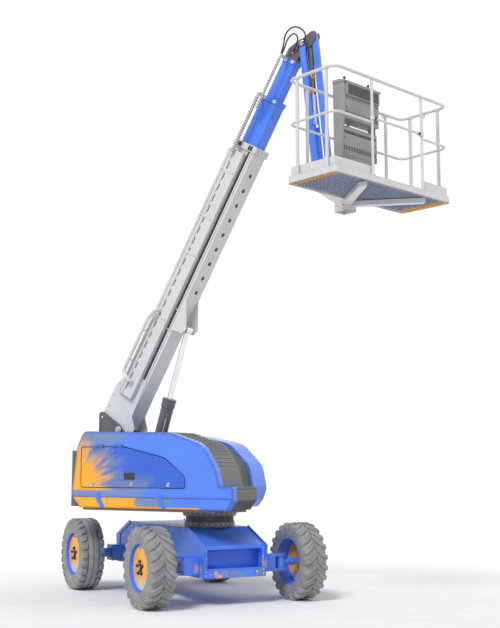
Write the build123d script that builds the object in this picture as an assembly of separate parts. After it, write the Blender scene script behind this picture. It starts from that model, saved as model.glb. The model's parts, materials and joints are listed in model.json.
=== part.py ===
from build123d import *
import math
import os

# Telescopic boom lift on four wheels, turntable slewed, boom raised, jib hanging.
# Millimetres, +Z up. The machine's front is towards -Y.
# The origin lies on the ground at the middle of the plan outline.

# Wheels and running gear
tyre_diameter = 1000
tyre_width = 340
rim_diameter = 600
rim_width = 300
rim_flange_height = 18
rim_wall = 10
disc_thickness = 16
disc_offset = 50
hub_boss_diameter = 210
wheel_bore_gap = 0.5
spindle_diameter = 90
track = 2120
wheelbase = 2500
slew_ahead_of_middle = 750
kingpin_inboard = 270
kingpin_diameter = 56
knuckle_diameter = 130
axle_beam_depth = 220
axle_beam_height = 220
yoke_plate = 36
yoke_reach = 75
running_gap = 0.4
tyre_seat_gap = 0.3

# Chassis box
chassis_width = 860
chassis_top = 950
chassis_bottom = 350
chassis_front_ahead_of_axle = 236
chassis_nose_top = 750
chassis_slope_length = 486
chassis_wall = 14
recess_depth = 110
recess_bar_height = 110
recess_top_margin = 40
recess_side_margin = 45

# Slew ring
ring_lower_height = 70
ring_lower_radius = 330
ring_drum_height = 70
ring_drum_radius = 304
ring_upper_height = 70
ring_upper_radius = 352

# Turntable, in its own frame: X is the boom's heading, Y to its left
heading_deg = -60
deck_thickness = 36
deck_edge_gap = 1
deck_corner = 120
cover_bottom = 1188
cover_half_width = 800
cover_wall = 6
valley_half_width = 240
cover_top = 2205
cover_rear_x = -1715
cover_edge_radius = 70
near_nose_x = 681
near_step_x = 880
near_step_z = 1480
far_nose_x = 402
far_cover_inner = 450
cowl_inset = 35
cowl_gap = 4
door_gap = 8
door_bottom = 1453
door_top = 1996
door_rear = -1560
door_front = 165
door_corner = 300
hinge_barrel = 14
hinge_knuckle_length = 90
skirt_top = 1335
skirt_proud = 10

# Riser, counterweight and the masses under the covers
riser_half_gap = 160
riser_plate = 25
riser_rear = -1780
riser_front = -900
riser_ear_top = 2500
tail_rear = -1930
tail_half_width = 620
tail_top = 1950
tail_corner = 180
tail_tongue_front = -1300
tail_tongue_top = 1750
tail_gap = 5
engine_size = (900, 290, 560)
engine_x = -700
tank_size = (900, 440, 520)
tank_x = -700

# Boom, in its own frame: X along the boom from its pivot, Z away from the underside
boom_deg = 60
pivot_x = -1420
pivot_z = 2240
pivot_pin = 70
base_width = 280
base_below = 85
base_above = 275
base_wall = 8
base_rear = 40
base_front = 4350
cheek_plate = 12
cheek_above = 393
cheek_top_end = 508
cheek_step_x = 679
cheek_step_z = 328
collar_length = 95
collar_proud = 18
mid_width = 200
mid_below = 50
mid_above = 220
mid_wall = 7
mid_rear = 497
mid_front = 5027
fly_width = 140
fly_below = 22
fly_above = 178
fly_wall = 6
fly_rear = 1127
fly_front = 5600
pad_length = 90
pad_gap = 0.4
stage_collar_length = 60
stage_collar_proud = 8

# Hose tray, guard tube and hose carriers on the boom's near side
tray_start = 470
tray_end = 4200
tray_depth = 60
tray_bottom = 20
tray_top = 262
tray_wall = 4
guard_tube = 36
carrier_tube = 46
carrier_gap = 8

# Lift cylinder
lug_x = 1690
lug_below = 215
lug_plate = 14
lug_pin = 50
base_pin_x = -1050
base_pin_z = 1450
lift_barrel_diameter = 170
lift_gland_diameter = 190
lift_gland_length = 120
lift_gland_end = 1261
lift_rod_diameter = 76
lift_eye_half_width = 60
lift_eye_radius = 70
lift_rod_eye_radius = 50
pin_gap = 0.5

# Boom nose, knuckle and jib. The knuckle stays level
nose_pin_x = 5840
nose_plate = 14
nose_half_gap = 56
knuckle_half_gap = 41
knuckle_plate = 12
knuckle_pin = 50
upright_x = 150
upright_z = 110
link_pin = 36
jib_deg = -84
jib_length = 1980
jib_arm_half_gap = 76
jib_arm_plate = 16
jib_arm_depth = 90
jib_link_half_width = 36
jib_link_depth = 70
jib_cylinder_root = (82, 5)
jib_eye_along = 1150
jib_eye_out = 30
jib_barrel_diameter = 70
jib_barrel_length = 700
jib_rod_diameter = 36
jib_eye_radius = 30
jib_eye_half_width = 34

# Platform, in its own frame: X forward and Y left from the rotator's axis
rotator_ahead = 323
rotator_radius = 50
rotator_bottom = 5045
rotator_top = 5300
rotator_shaft = 50
platform_yaw_deg = -14.5
platform_rear = 142
platform_depth = 790
platform_width = 2207
platform_side_offset = -60
rim_bottom = 5075
rim_height = 80
rim_breadth = 45
rim_sheet = 4
rim_corner = 60
floor_drop = 40
floor_plate = 4
rail_tube = 38
rail_top = 6380
rail_mid = 5810
post_size = (14, 44)
rail_corner = 110
toe_height = 120
toe_plate = 5
foot_bottom = 4940
foot_wall = 8
support_beam = 60
beam_wall = 5
console_size = (190, 560, 620)
console_bottom = 5900
console_wall = 6
entry_from = 0.31
entry_to = 0.745

# Places worked out from the sizes above
slew_to_middle = slew_ahead_of_middle
front_axle_y = slew_to_middle - wheelbase / 2
rear_axle_y = slew_to_middle + wheelbase / 2
axle_z = tyre_diameter / 2
chassis_front_y = front_axle_y - chassis_front_ahead_of_axle
chassis_rear_y = rear_axle_y + chassis_front_ahead_of_axle
ring_bottom = chassis_top
drum_bottom = ring_bottom + ring_lower_height
upper_ring_bottom = drum_bottom + ring_drum_height + running_gap
deck_bottom = upper_ring_bottom + ring_upper_height
deck_top = deck_bottom + deck_thickness


def in_plane(length, degrees):
    """Forward and upward parts of a length at an angle above the horizontal."""
    angle = math.radians(degrees)
    return length * math.cos(angle), length * math.sin(angle)


def boom_point(x, z):
    """A point of the boom's frame in the turntable's X and Z."""
    ax, az = in_plane(x, boom_deg)
    bx, bz = in_plane(z, boom_deg + 90)
    return pivot_x + ax + bx, pivot_z + az + bz


lug_point = boom_point(lug_x, -lug_below)
nose_pin = boom_point(nose_pin_x, 0)
link_top = (nose_pin[0] + upright_x, nose_pin[1] + upright_z)
jib_run = in_plane(jib_length, jib_deg)
jib_foot = (nose_pin[0] + jib_run[0], nose_pin[1] + jib_run[1])
link_foot = (jib_foot[0] + upright_x, jib_foot[1] + upright_z)
cylinder_root = (nose_pin[0] + jib_cylinder_root[0], nose_pin[1] + jib_cylinder_root[1])
jib_along = in_plane(jib_eye_along, jib_deg)
jib_out = in_plane(jib_eye_out, jib_deg + 90)
cylinder_eye = (nose_pin[0] + jib_along[0] + jib_out[0], nose_pin[1] + jib_along[1] + jib_out[1])
rotator_x = jib_foot[0] + rotator_ahead
lift_length = math.hypot(lug_point[0] - base_pin_x, lug_point[1] - base_pin_z)
lift_deg = math.degrees(math.atan2(lug_point[1] - base_pin_z, lug_point[0] - base_pin_x))
jib_cylinder_length = math.hypot(cylinder_eye[0] - cylinder_root[0], cylinder_eye[1] - cylinder_root[1])
jib_cylinder_deg = math.degrees(math.atan2(cylinder_eye[1] - cylinder_root[1], cylinder_eye[0] - cylinder_root[0]))

platform_front = platform_rear + platform_depth
platform_near = platform_side_offset - platform_width / 2
platform_far = platform_side_offset + platform_width / 2


def slewed_point(x, y):
    """A plan point of the turntable, turned to the boom's heading."""
    angle = math.radians(heading_deg)
    return x * math.cos(angle) - y * math.sin(angle), x * math.sin(angle) + y * math.cos(angle)


def platform_point(x, y):
    """A plan point of the platform, turned with the platform and the boom."""
    angle = math.radians(platform_yaw_deg)
    along = x * math.cos(angle) - y * math.sin(angle)
    across = x * math.sin(angle) + y * math.cos(angle)
    return slewed_point(rotator_x + along, across)


# Shift of the whole machine that puts the origin at the middle of its plan outline
outline_left = slewed_point(cover_rear_x, -cover_half_width)[0]
outline_right = platform_point(platform_front, platform_far)[0]
outline_front = platform_point(platform_front, platform_near)[1]
outline_rear = rear_axle_y + tyre_diameter / 2
plan_shift_x = -(outline_left + outline_right) / 2
plan_shift_y = -(outline_front + outline_rear) / 2

# Shapes

os.makedirs("parts", exist_ok=True)

machine = Location((plan_shift_x, plan_shift_y, 0))
turntable = machine * Location((0, 0, 0), (0, 0, heading_deg))
boom = turntable * Location((pivot_x, 0, pivot_z), (0, -boom_deg, 0))
lift = turntable * Location((base_pin_x, 0, base_pin_z), (0, -lift_deg, 0))
jib = turntable * Location((nose_pin[0], 0, nose_pin[1]), (0, -jib_deg, 0))
link = turntable * Location((link_top[0], 0, link_top[1]), (0, -jib_deg, 0))
ram = turntable * Location((cylinder_root[0], 0, cylinder_root[1]), (0, -jib_cylinder_deg, 0))
platform = turntable * Location((rotator_x, 0, 0), (0, 0, platform_yaw_deg))


def save(name, place, shape):
    """Writes one node, moved from its own frame to the machine's."""
    export_step(place * shape, "parts/" + name + ".step")


def block(x0, x1, y0, y1, z0, z1):
    """A box between two corners."""
    size = Box(x1 - x0, y1 - y0, z1 - z0)
    return Pos((x0 + x1) / 2, (y0 + y1) / 2, (z0 + z1) / 2) * size


def plate(points, y0, y1):
    """A flat plate with an outline in X and Z, from y0 to y1."""
    face = make_face(Polyline(*points, close=True))
    low, high = min(y0, y1), max(y0, y1)
    return Pos(0, high, 0) * extrude(Plane.XZ * face, amount=high - low)


def rod_y(x, z, radius, y0, y1):
    """A round bar across the machine."""
    return Pos(x, (y0 + y1) / 2, z) * Rot(90, 0, 0) * Cylinder(radius, abs(y1 - y0))


def rod_x(x0, x1, y, z, radius):
    """A round bar along the X axis."""
    return Pos((x0 + x1) / 2, y, z) * Rot(0, 90, 0) * Cylinder(radius, abs(x1 - x0))


def rod_z(x, y, z0, z1, radius):
    """An upright round bar."""
    return Pos(x, y, (z0 + z1) / 2) * Cylinder(radius, abs(z1 - z0))


def rounded_plate(points, radii, y0, y1):
    """A plate whose outline corners are rounded, each with its own radius (0 keeps it sharp)."""
    outline = []
    count = len(points)
    for i in range(count):
        corner = Vector(*points[i])
        if radii[i] == 0:
            outline.append((corner, corner, corner))
            continue
        before = (Vector(*points[i - 1]) - corner).normalized()
        after = (Vector(*points[(i + 1) % count]) - corner).normalized()
        half = math.radians(before.get_angle(after)) / 2
        reach = radii[i] / math.tan(half)
        middle = corner + (before + after).normalized() * (radii[i] / math.sin(half) - radii[i])
        outline.append((corner + before * reach, middle, corner + after * reach))
    edges = []
    for i in range(count):
        start, middle, end = outline[i]
        if radii[i] != 0:
            edges.append(ThreePointArc(start, middle, end))
        edges.append(Line(end, outline[(i + 1) % count][0]))
    face = make_face(edges)
    low, high = min(y0, y1), max(y0, y1)
    return Pos(0, high, 0) * extrude(Plane.XZ * face, amount=high - low)


# Wheels: the axle runs along X, and the outboard side is +X before a left wheel is turned


def tyre():
    """The tyre, seated on the rim with its tread flat and its shoulders rounded."""
    inner = rim_diameter / 2 + tyre_seat_gap
    outer = tyre_diameter / 2
    half = tyre_width / 2
    shoulder = 40
    bead = rim_width / 2 - 12
    flange_top = inner + rim_flange_height + 6
    profile = [
        (inner, -bead),
        (flange_top, -bead),
        (inner + 90, -half + 4),
        (outer - shoulder, -half),
        (outer, -half + shoulder),
        (outer, half - shoulder),
        (outer - shoulder, half),
        (inner + 90, half - 4),
        (flange_top, bead),
        (inner, bead),
    ]
    face = make_face(Polyline(*profile, close=True))
    ring = revolve(Plane.XZ * face, Axis.Z)
    return Rot(0, 90, 0) * ring


def rim():
    """The wheel: a barrel with two flanges, a dished disc and a hub boss."""
    outer = rim_diameter / 2
    inner = outer - rim_wall
    flange = outer + rim_flange_height
    half = rim_width / 2
    bore = spindle_diameter / 2 + wheel_bore_gap
    barrel_profile = [
        (inner, -half),
        (flange, -half),
        (flange, -half + rim_wall),
        (outer, -half + rim_wall),
        (outer, half - rim_wall),
        (flange, half - rim_wall),
        (flange, half),
        (inner, half),
    ]
    disc_profile = [
        (bore, disc_offset - disc_thickness),
        (hub_boss_diameter / 2, disc_offset - disc_thickness),
        (inner + 1, disc_offset - disc_thickness - 30),
        (inner + 1, disc_offset - 30),
        (hub_boss_diameter / 2, disc_offset),
        (hub_boss_diameter / 2, disc_offset + 24),
        (bore, disc_offset + 24),
    ]
    barrel = revolve(Plane.XZ * make_face(Polyline(*barrel_profile, close=True)), Axis.Z)
    disc = revolve(Plane.XZ * make_face(Polyline(*disc_profile, close=True)), Axis.Z)
    return Rot(0, 90, 0) * (barrel + disc)


# Name, side (-1 is the near or -X side), axle position
wheel_table = [
    ("front_right", -1, front_axle_y),
    ("front_left", 1, front_axle_y),
    ("rear_right", -1, rear_axle_y),
    ("rear_left", 1, rear_axle_y),
]
tyre_shape = tyre()
rim_shape = rim()
for wheel_name, side, axle_y in wheel_table:
    place = machine * Location((side * track / 2, axle_y, axle_z), (0, 0, 0 if side > 0 else 180))
    save("tyre_" + wheel_name, place, tyre_shape)
    save("rim_" + wheel_name, place, rim_shape)

# Axles and steering knuckles
kingpin_x = track / 2 - kingpin_inboard
spindle_end = track / 2 + disc_offset + 24
beam_bottom = axle_z - axle_beam_height / 2
beam_top = axle_z + axle_beam_height / 2
knuckle_bottom = beam_bottom + yoke_plate + running_gap
knuckle_top = beam_top - yoke_plate - running_gap


def axle_beam(axle_y, steered):
    """A box beam through the chassis. A steered one ends in two yokes, the other in two spindles."""
    half_depth = axle_beam_depth / 2
    body = None
    for side in (-1, 1):
        inner = side * chassis_width / 2
        outer = side * (kingpin_x - yoke_reach - knuckle_diameter / 2)
        x0, x1 = min(inner, outer), max(inner, outer)
        arm = block(x0, x1, axle_y - half_depth, axle_y + half_depth, beam_bottom, beam_top)
        if steered:
            for z0 in (beam_bottom, beam_top - yoke_plate):
                tip = side * kingpin_x
                a, b = min(outer, tip), max(outer, tip)
                ear = block(a, b, axle_y - yoke_reach, axle_y + yoke_reach, z0, z0 + yoke_plate)
                ear += rod_z(tip, axle_y, z0, z0 + yoke_plate, yoke_reach)
                ear -= rod_z(tip, axle_y, z0, z0 + yoke_plate, kingpin_diameter / 2 + running_gap)
                arm += ear
        else:
            arm += rod_x(outer, side * (track / 2 - disc_offset), axle_y, axle_z, knuckle_diameter / 2)
            arm += rod_x(outer, side * spindle_end, axle_y, axle_z, spindle_diameter / 2)
        body = arm if body is None else body + arm
    return body


def steering_knuckle(side):
    """The kingpin post with its spindle and a steering arm."""
    x = side * kingpin_x
    post = rod_z(x, front_axle_y, knuckle_bottom, knuckle_top, knuckle_diameter / 2)
    post += rod_z(x, front_axle_y, beam_bottom, beam_top, kingpin_diameter / 2)
    post += rod_x(x, side * (track / 2 - disc_offset), front_axle_y, axle_z, knuckle_diameter / 2 - 12)
    post += rod_x(x, side * spindle_end, front_axle_y, axle_z, spindle_diameter / 2)
    return post


save("front_axle_beam", machine, axle_beam(front_axle_y, True))
save("rear_axle_beam", machine, axle_beam(rear_axle_y, False))
save("steering_knuckle_right", machine, steering_knuckle(-1))
save("steering_knuckle_left", machine, steering_knuckle(1))


def chassis():
    """The welded box frame, sloped at both ends, open below, with a recess in each end."""
    half = chassis_width / 2
    slope_front = chassis_front_y + chassis_slope_length
    slope_rear = chassis_rear_y - chassis_slope_length
    outline = [
        (chassis_front_y, chassis_bottom),
        (chassis_front_y, chassis_nose_top),
        (slope_front, chassis_top),
        (slope_rear, chassis_top),
        (chassis_rear_y, chassis_nose_top),
        (chassis_rear_y, chassis_bottom),
    ]
    face = make_face(Polyline(*outline, close=True))
    body = Pos(-half, 0, 0) * extrude(Plane.YZ * face, amount=chassis_width)
    t = chassis_wall
    inside = [
        (chassis_front_y + recess_depth + t, chassis_bottom - 1),
        (chassis_front_y + recess_depth + t, chassis_nose_top - t),
        (slope_front + t, chassis_top - t),
        (slope_rear - t, chassis_top - t),
        (chassis_rear_y - recess_depth - t, chassis_nose_top - t),
        (chassis_rear_y - recess_depth - t, chassis_bottom - 1),
    ]
    hollow = make_face(Polyline(*inside, close=True))
    body -= Pos(-half + t, 0, 0) * extrude(Plane.YZ * hollow, amount=chassis_width - 2 * t)
    low = chassis_bottom + recess_bar_height
    high = chassis_nose_top - recess_top_margin
    side = half - recess_side_margin
    body -= block(-side, side, chassis_front_y - 1, chassis_front_y + recess_depth, low, high)
    body -= block(-side, side, chassis_rear_y - recess_depth, chassis_rear_y + 1, low, high)
    return body


save("chassis_frame", machine, chassis())

# Slew ring
lower_ring = rod_z(0, 0, ring_bottom, drum_bottom, ring_lower_radius)
lower_ring += rod_z(0, 0, drum_bottom, drum_bottom + ring_drum_height, ring_drum_radius)
save("slew_ring_lower", turntable, lower_ring)
save("slew_ring_upper", turntable, rod_z(0, 0, upper_ring_bottom, deck_bottom, ring_upper_radius))

# Turntable deck: a tongue under the valley with a wing under each cover
deck_half = cover_half_width - cover_wall - deck_edge_gap
wing_rear = cover_rear_x + 150 + 50
near_wing_front = near_step_x - 93 - 60
far_wing_front = far_nose_x - 150 - 60
deck_outline = [
    (tail_rear, -valley_half_width),
    (wing_rear, -valley_half_width),
    (wing_rear, -deck_half),
    (near_wing_front - deck_corner, -deck_half),
    (near_wing_front, -deck_half + deck_corner),
    (near_wing_front, -valley_half_width),
    (far_wing_front, valley_half_width),
    (far_wing_front, deck_half - deck_corner),
    (far_wing_front - deck_corner, deck_half),
    (wing_rear, deck_half),
    (wing_rear, valley_half_width),
    (tail_rear, valley_half_width),
]
deck = extrude(make_face(Polyline(*deck_outline, close=True)), amount=deck_thickness)
save("turntable_deck", turntable, Pos(0, 0, deck_bottom) * deck)

# Cover outlines: X, Z and corner radius, clockwise from the rear foot
rear_outline = [
    (cover_rear_x + 150, cover_bottom, 30),
    (cover_rear_x, cover_bottom + 170, 60),
    (cover_rear_x + 90, cover_top - 190, 200),
    (cover_rear_x + 190, cover_top, 110),
]
near_outline = rear_outline + [
    (-60, cover_top - 45, 500),
    (near_nose_x - 260, cover_top - 200, 300),
    (near_nose_x - 60, near_step_z + 230, 250),
    (near_nose_x, near_step_z, 0),
    (near_step_x, near_step_z, 20),
    (near_step_x, near_step_z - 165, 30),
    (near_step_x - 93, cover_bottom, 30),
]
far_outline = rear_outline + [
    (far_nose_x - 950, cover_top - 45, 500),
    (far_nose_x - 380, cover_top - 160, 400),
    (far_nose_x - 70, near_step_z + 270, 300),
    (far_nose_x, near_step_z - 40, 150),
    (far_nose_x - 60, cover_bottom + 100, 60),
    (far_nose_x - 150, cover_bottom, 30),
]


def inset_outline(outline, amount):
    """The same outline moved inwards by an amount, with its radii reduced to match."""
    moved = []
    count = len(outline)
    for i in range(count):
        x, z, radius = outline[i]
        before = Vector(x - outline[i - 1][0], z - outline[i - 1][1]).normalized()
        after = Vector(outline[(i + 1) % count][0] - x, outline[(i + 1) % count][1] - z).normalized()
        turn = before.X * after.Y - before.Y * after.X
        normal_before = Vector(before.Y, -before.X)
        normal_after = Vector(after.Y, -after.X)
        bisector = (normal_before + normal_after).normalized()
        reach = amount / bisector.dot(normal_before)
        kept = 0
        if radius > 0:
            kept = max(radius - amount, 2) if turn < 0 else radius + amount
        moved.append((x + bisector.X * reach, z + bisector.Y * reach, kept))
    return moved


def outline_plate(outline, y0, y1):
    """A solid with a rounded outline in X and Z."""
    points = [(x, z) for x, z, radius in outline]
    radii = [radius for x, z, radius in outline]
    return rounded_plate(points, radii, y0, y1)


def cover_shell(outline, y0, y1):
    """A hollow cover of even wall thickness, open below."""
    low, high = min(y0, y1), max(y0, y1)
    solid = outline_plate(outline, low, high)
    inner = inset_outline(outline, cover_wall)
    hollow = outline_plate(inner, low + cover_wall, high - cover_wall)
    foot = outline[0][1]
    below = block(outline[0][0] + 10, outline[-1][0] - 10, low + cover_wall, high - cover_wall,
                  foot - 10, foot + cover_wall + 10)
    return solid - hollow - below


def door_points(gap):
    """The D-shaped outline of a side door, smaller all round by a gap."""
    return [
        (door_rear + gap, door_bottom + gap),
        (door_rear + gap, door_top - gap),
        (door_front - 1010 - gap / 2, door_top - gap),
        (door_front - 330 - gap / 2, door_top - 150 - gap),
        (door_front - gap, door_bottom + 150),
        (door_front - gap, door_bottom + gap),
    ]


door_radii = [30, 30, 400, 300, 100, 30]


def door(side):
    """The side door with two hinge knuckles along its top edge."""
    outer = side * cover_half_width
    inner = side * (cover_half_width - cover_wall)
    leaf = rounded_plate(door_points(door_gap), door_radii, outer, inner)
    hinge_y = side * (cover_half_width + hinge_barrel / 2)
    for x in (door_rear + 200, door_front - 1200):
        leaf += rod_x(x, x + hinge_knuckle_length, hinge_y, door_top - door_gap, hinge_barrel / 2)
        leaf += block(x, x + hinge_knuckle_length, min(outer, hinge_y), max(outer, hinge_y),
                      door_top - door_gap - hinge_barrel / 2, door_top - door_gap)
    return leaf


def hinge_lugs(side):
    """The fixed hinge knuckles beside the door's own."""
    outer = side * cover_half_width
    hinge_y = side * (cover_half_width + hinge_barrel / 2)
    lugs = None
    for x in (door_rear + 200, door_front - 1200):
        x0 = x + hinge_knuckle_length + running_gap
        lug = rod_x(x0, x0 + hinge_knuckle_length, hinge_y, door_top - door_gap, hinge_barrel / 2)
        lug += block(x0, x0 + hinge_knuckle_length, min(outer, hinge_y), max(outer, hinge_y),
                     door_top - door_gap, door_top + 20)
        lugs = lug if lugs is None else lugs + lug
    return lugs


def cover_with_door(outline, side, inner_y):
    """A cover with its door opening and hinge lugs."""
    outer = side * cover_half_width
    shell = cover_shell(outline, outer, inner_y)
    wall_y = sorted((inner_y - side, inner_y + side * (cover_wall + 1)))
    shell -= block(tail_rear, near_step_x, wall_y[0], wall_y[1], cover_bottom - 1, deck_top)
    shell -= rounded_plate(door_points(0), door_radii, outer + side * 5, outer - side * 30)
    return shell + hinge_lugs(side)


save("cover_right", turntable, cover_with_door(near_outline, -1, -valley_half_width))
save("cover_left", turntable, cover_with_door(far_outline, 1, far_cover_inner))
save("door_right", turntable, door(-1))
save("door_left", turntable, door(1))
cowl_outline = inset_outline(far_outline, cowl_inset)
cowl_outline[0] = (cowl_outline[0][0], deck_top, 0)
cowl_outline[-1] = (cowl_outline[-1][0], deck_top, 0)
save("cowl_louvred", turntable, cover_shell(cowl_outline, valley_half_width + 10, far_cover_inner - cowl_gap))

# Riser plates with the boom pin and the lift cylinder's base pin
riser_top = riser_ear_top
riser_outline = [
    (riser_rear, deck_top, 0),
    (riser_rear, riser_top, 40),
    (riser_rear + 70, riser_top, 30),
    (pivot_x + 20, pivot_z + 60, 60),
    (pivot_x + 120, pivot_z - 60, 80),
    (riser_front - 60, base_pin_z + 110, 120),
    (riser_front, deck_top, 0),
]


def riser():
    """Two upright plates joined across the back, with both pins."""
    body = None
    for side in (-1, 1):
        y0, y1 = side * riser_half_gap, side * (riser_half_gap + riser_plate)
        leaf = outline_plate(riser_outline, y0, y1)
        leaf -= rod_y(riser_rear + 45, riser_top - 70, 22, y0, y1)
        body = leaf if body is None else body + leaf
    body += rod_y(pivot_x, pivot_z, pivot_pin / 2, -riser_half_gap - riser_plate - 15, riser_half_gap + riser_plate + 15)
    body += rod_y(base_pin_x, base_pin_z, lug_pin / 2, -riser_half_gap - riser_plate - 10, riser_half_gap + riser_plate + 10)
    return body


save("riser", turntable, riser())


def counterweight():
    """The cast tail weight, with a tongue between the riser plates."""
    body = block(tail_rear, riser_rear - tail_gap, -tail_half_width, tail_half_width, deck_top, tail_top)
    body = fillet(body.edges().filter_by(Axis.Z).group_by(Axis.X)[0], tail_corner / 2)
    tongue = block(riser_rear - tail_gap, tail_tongue_front, -riser_half_gap + tail_gap, riser_half_gap - tail_gap,
                   deck_top, tail_tongue_top)
    return body + tongue


save("counterweight", turntable, counterweight())


def mass_block(size, x, y):
    """A plain block that stands on the deck."""
    return block(x - size[0] / 2, x + size[0] / 2, y - size[1] / 2, y + size[1] / 2, deck_top, deck_top + size[2])


save("engine_block", turntable, mass_block(engine_size, engine_x, (far_cover_inner + cover_half_width) / 2))
save("tank_block", turntable, mass_block(tank_size, tank_x, -(valley_half_width + cover_half_width) / 2))

# Boom sections


def tube(x0, x1, width, below, above, wall):
    """A rectangular tube along the boom."""
    outer = block(x0, x1, -width / 2, width / 2, -below, above)
    inner = block(x0 - 1, x1 + 1, -width / 2 + wall, width / 2 - wall, -below + wall, above - wall)
    return outer - inner


def frame_around(x0, x1, hole, outer):
    """A rectangular frame across the boom. Each size is half width, below and above."""
    body = block(x0, x1, -outer[0], outer[0], -outer[1], outer[2])
    return body - block(x0 - 1, x1 + 1, -hole[0], hole[0], -hole[1], hole[2])


base_inner = (base_width / 2 - base_wall, base_below - base_wall, base_above - base_wall)
mid_outer = (mid_width / 2, mid_below, mid_above)
mid_inner = (mid_width / 2 - mid_wall, mid_below - mid_wall, mid_above - mid_wall)
fly_outer = (fly_width / 2, fly_below, fly_above)


def grown(size, amount):
    """A frame size made larger by an amount on every side."""
    return tuple(value + amount for value in size)


def boom_base():
    """The base section: tube, cheek plates with the pivot bore, lug plates and front collar."""
    half = base_width / 2
    body = tube(base_rear, base_front, base_width, base_below, base_above, base_wall)
    cheek_outline = [
        (-75, -60, 40),
        (-75, 130, 40),
        (base_rear + 40, cheek_above, 20),
        (cheek_top_end, cheek_above, 60),
        (cheek_step_x, cheek_step_z, 60),
        (cheek_step_x + 120, base_above - 20, 0),
        (cheek_step_x + 120, -base_below + 20, 0),
        (250, -base_below, 60),
        (130, -215, 30),
        (40, -215, 30),
    ]
    for side in (-1, 1):
        body += outline_plate(cheek_outline, side * half, side * (half + cheek_plate))
    body -= rod_y(0, 0, pivot_pin / 2 + pin_gap, -half - 30, half + 30)
    lug_top = base_wall - base_below - 1
    lug_outline = [
        (lug_x - 80, lug_top, 0),
        (lug_x + 400, lug_top, 0),
        (lug_x + 30, -lug_below - 70, 25),
        (lug_x - 55, -lug_below - 30, 25),
    ]
    for side in (-1, 1):
        plate_y = side * half
        body += outline_plate(lug_outline, plate_y, plate_y - side * lug_plate)
    pin_end = half
    body += rod_y(lug_x, -lug_below, lug_pin / 2, -pin_end, -lift_eye_half_width - 6)
    body += rod_y(lug_x, -lug_below, lug_pin / 2, lift_eye_half_width + 6, pin_end)
    outer = (half + collar_proud, base_below + collar_proud, base_above + collar_proud)
    body += frame_around(base_front - collar_length, base_front, base_inner, outer)
    body += frame_around(base_front - pad_length, base_front, grown(mid_outer, pad_gap), base_inner)
    return body


def boom_stage(x0, x1, size, wall, outside, next_size):
    """A sliding section with wear pads outside its rear end and inside its front collar."""
    body = tube(x0, x1, 2 * size[0], size[1], size[2], wall)
    body += frame_around(x0, x0 + pad_length, grown(size, -1), grown(outside, -pad_gap))
    body += frame_around(x1 - stage_collar_length, x1, grown(size, -1), grown(size, stage_collar_proud))
    if next_size:
        inner = grown(size, -wall)
        body += frame_around(x1 - pad_length, x1, grown(next_size, pad_gap), grown(inner, 1))
    return body


save("boom_base", boom, boom_base())
save("boom_mid", boom, boom_stage(mid_rear, mid_front, mid_outer, mid_wall, base_inner, fly_outer))
save("boom_fly", boom, boom_stage(fly_rear, fly_front, fly_outer, fly_wall, mid_inner, None))

# Hose tray with its guard tube, on the near side of the base section
tray_out = -base_width / 2 - tray_depth


def hose_tray():
    """An open channel on the base's near side, with a guard tube along its upper edge."""
    near = -base_width / 2
    body = block(tray_start, tray_end, tray_out, near, tray_bottom, tray_top)
    body -= block(tray_start - 1, tray_end + 1, tray_out + tray_wall, near - tray_wall, tray_bottom + tray_wall,
                  tray_top - tray_wall)
    guard_z = tray_top + guard_tube / 2 - 3
    body += rod_x(tray_start, tray_end, (tray_out + near) / 2 - 6, guard_z, guard_tube / 2)
    return body


save("hose_tray", boom, Pos(0, -cheek_plate - 0.2, 0) * hose_tray())

# Hose carriers that move with the mid and fly sections
carrier_y = tray_out - cheek_plate - carrier_gap - carrier_tube / 2
save("carrier_mid", boom, rod_x(mid_front - 900, mid_front, carrier_y, 190, carrier_tube / 2)
     + block(mid_front - 40, mid_front, carrier_y, -mid_width / 2 - stage_collar_proud, 170, 210))
save("carrier_fly", boom, rod_x(fly_front - 800, fly_front, carrier_y, 120, carrier_tube / 2 - 6)
     + block(fly_front - 40, fly_front, carrier_y, -fly_width / 2 - stage_collar_proud, 105, 135))

# Lift cylinder, in a frame along its own axis


def lift_barrel():
    """The barrel with its base eye and gland."""
    body = rod_x(60, lift_gland_end, 0, 0, lift_barrel_diameter / 2)
    body += rod_x(lift_gland_end - lift_gland_length, lift_gland_end, 0, 0, lift_gland_diameter / 2)
    body += rod_y(0, 0, lift_eye_radius, -lift_eye_half_width, lift_eye_half_width)
    body += block(0, 80, -lift_eye_half_width, lift_eye_half_width, -lift_eye_radius, lift_eye_radius)
    body -= rod_y(0, 0, lug_pin / 2 + pin_gap, -lift_eye_half_width - 1, lift_eye_half_width + 1)
    body -= rod_x(200, lift_gland_end + 1, 0, 0, lift_rod_diameter / 2 + running_gap)
    return body


def lift_rod():
    """The rod with its eye, which ends between the two lug plates."""
    body = rod_x(lift_length - 1200, lift_length - 40, 0, 0, lift_rod_diameter / 2)
    body += rod_y(lift_length, 0, lift_rod_eye_radius, -lift_eye_half_width, lift_eye_half_width)
    return body


save("lift_barrel", lift, lift_barrel())
save("lift_rod", lift, lift_rod())

# Boom nose: a fork on the fly section
nose_outline = [
    (fly_front + 0.2, -fly_below, 0),
    (fly_front + 0.2, fly_above, 0),
    (fly_front + 120, fly_above, 60),
    (nose_pin_x + 60, 60, 55),
    (nose_pin_x + 60, -60, 55),
    (nose_pin_x - 60, -60, 40),
]


def boom_nose():
    """Two fork plates with a cap that closes the fly section."""
    body = block(fly_front + 0.2, fly_front + 30, -nose_half_gap - nose_plate, nose_half_gap + nose_plate,
                 -fly_below, fly_above)
    for side in (-1, 1):
        y0, y1 = side * nose_half_gap, side * (nose_half_gap + nose_plate)
        body += outline_plate(nose_outline, y0, y1)
        body -= rod_y(nose_pin_x, 0, knuckle_pin / 2 + pin_gap, y0 - side, y1 + side)
    return body


save("boom_nose", boom, boom_nose())


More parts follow.
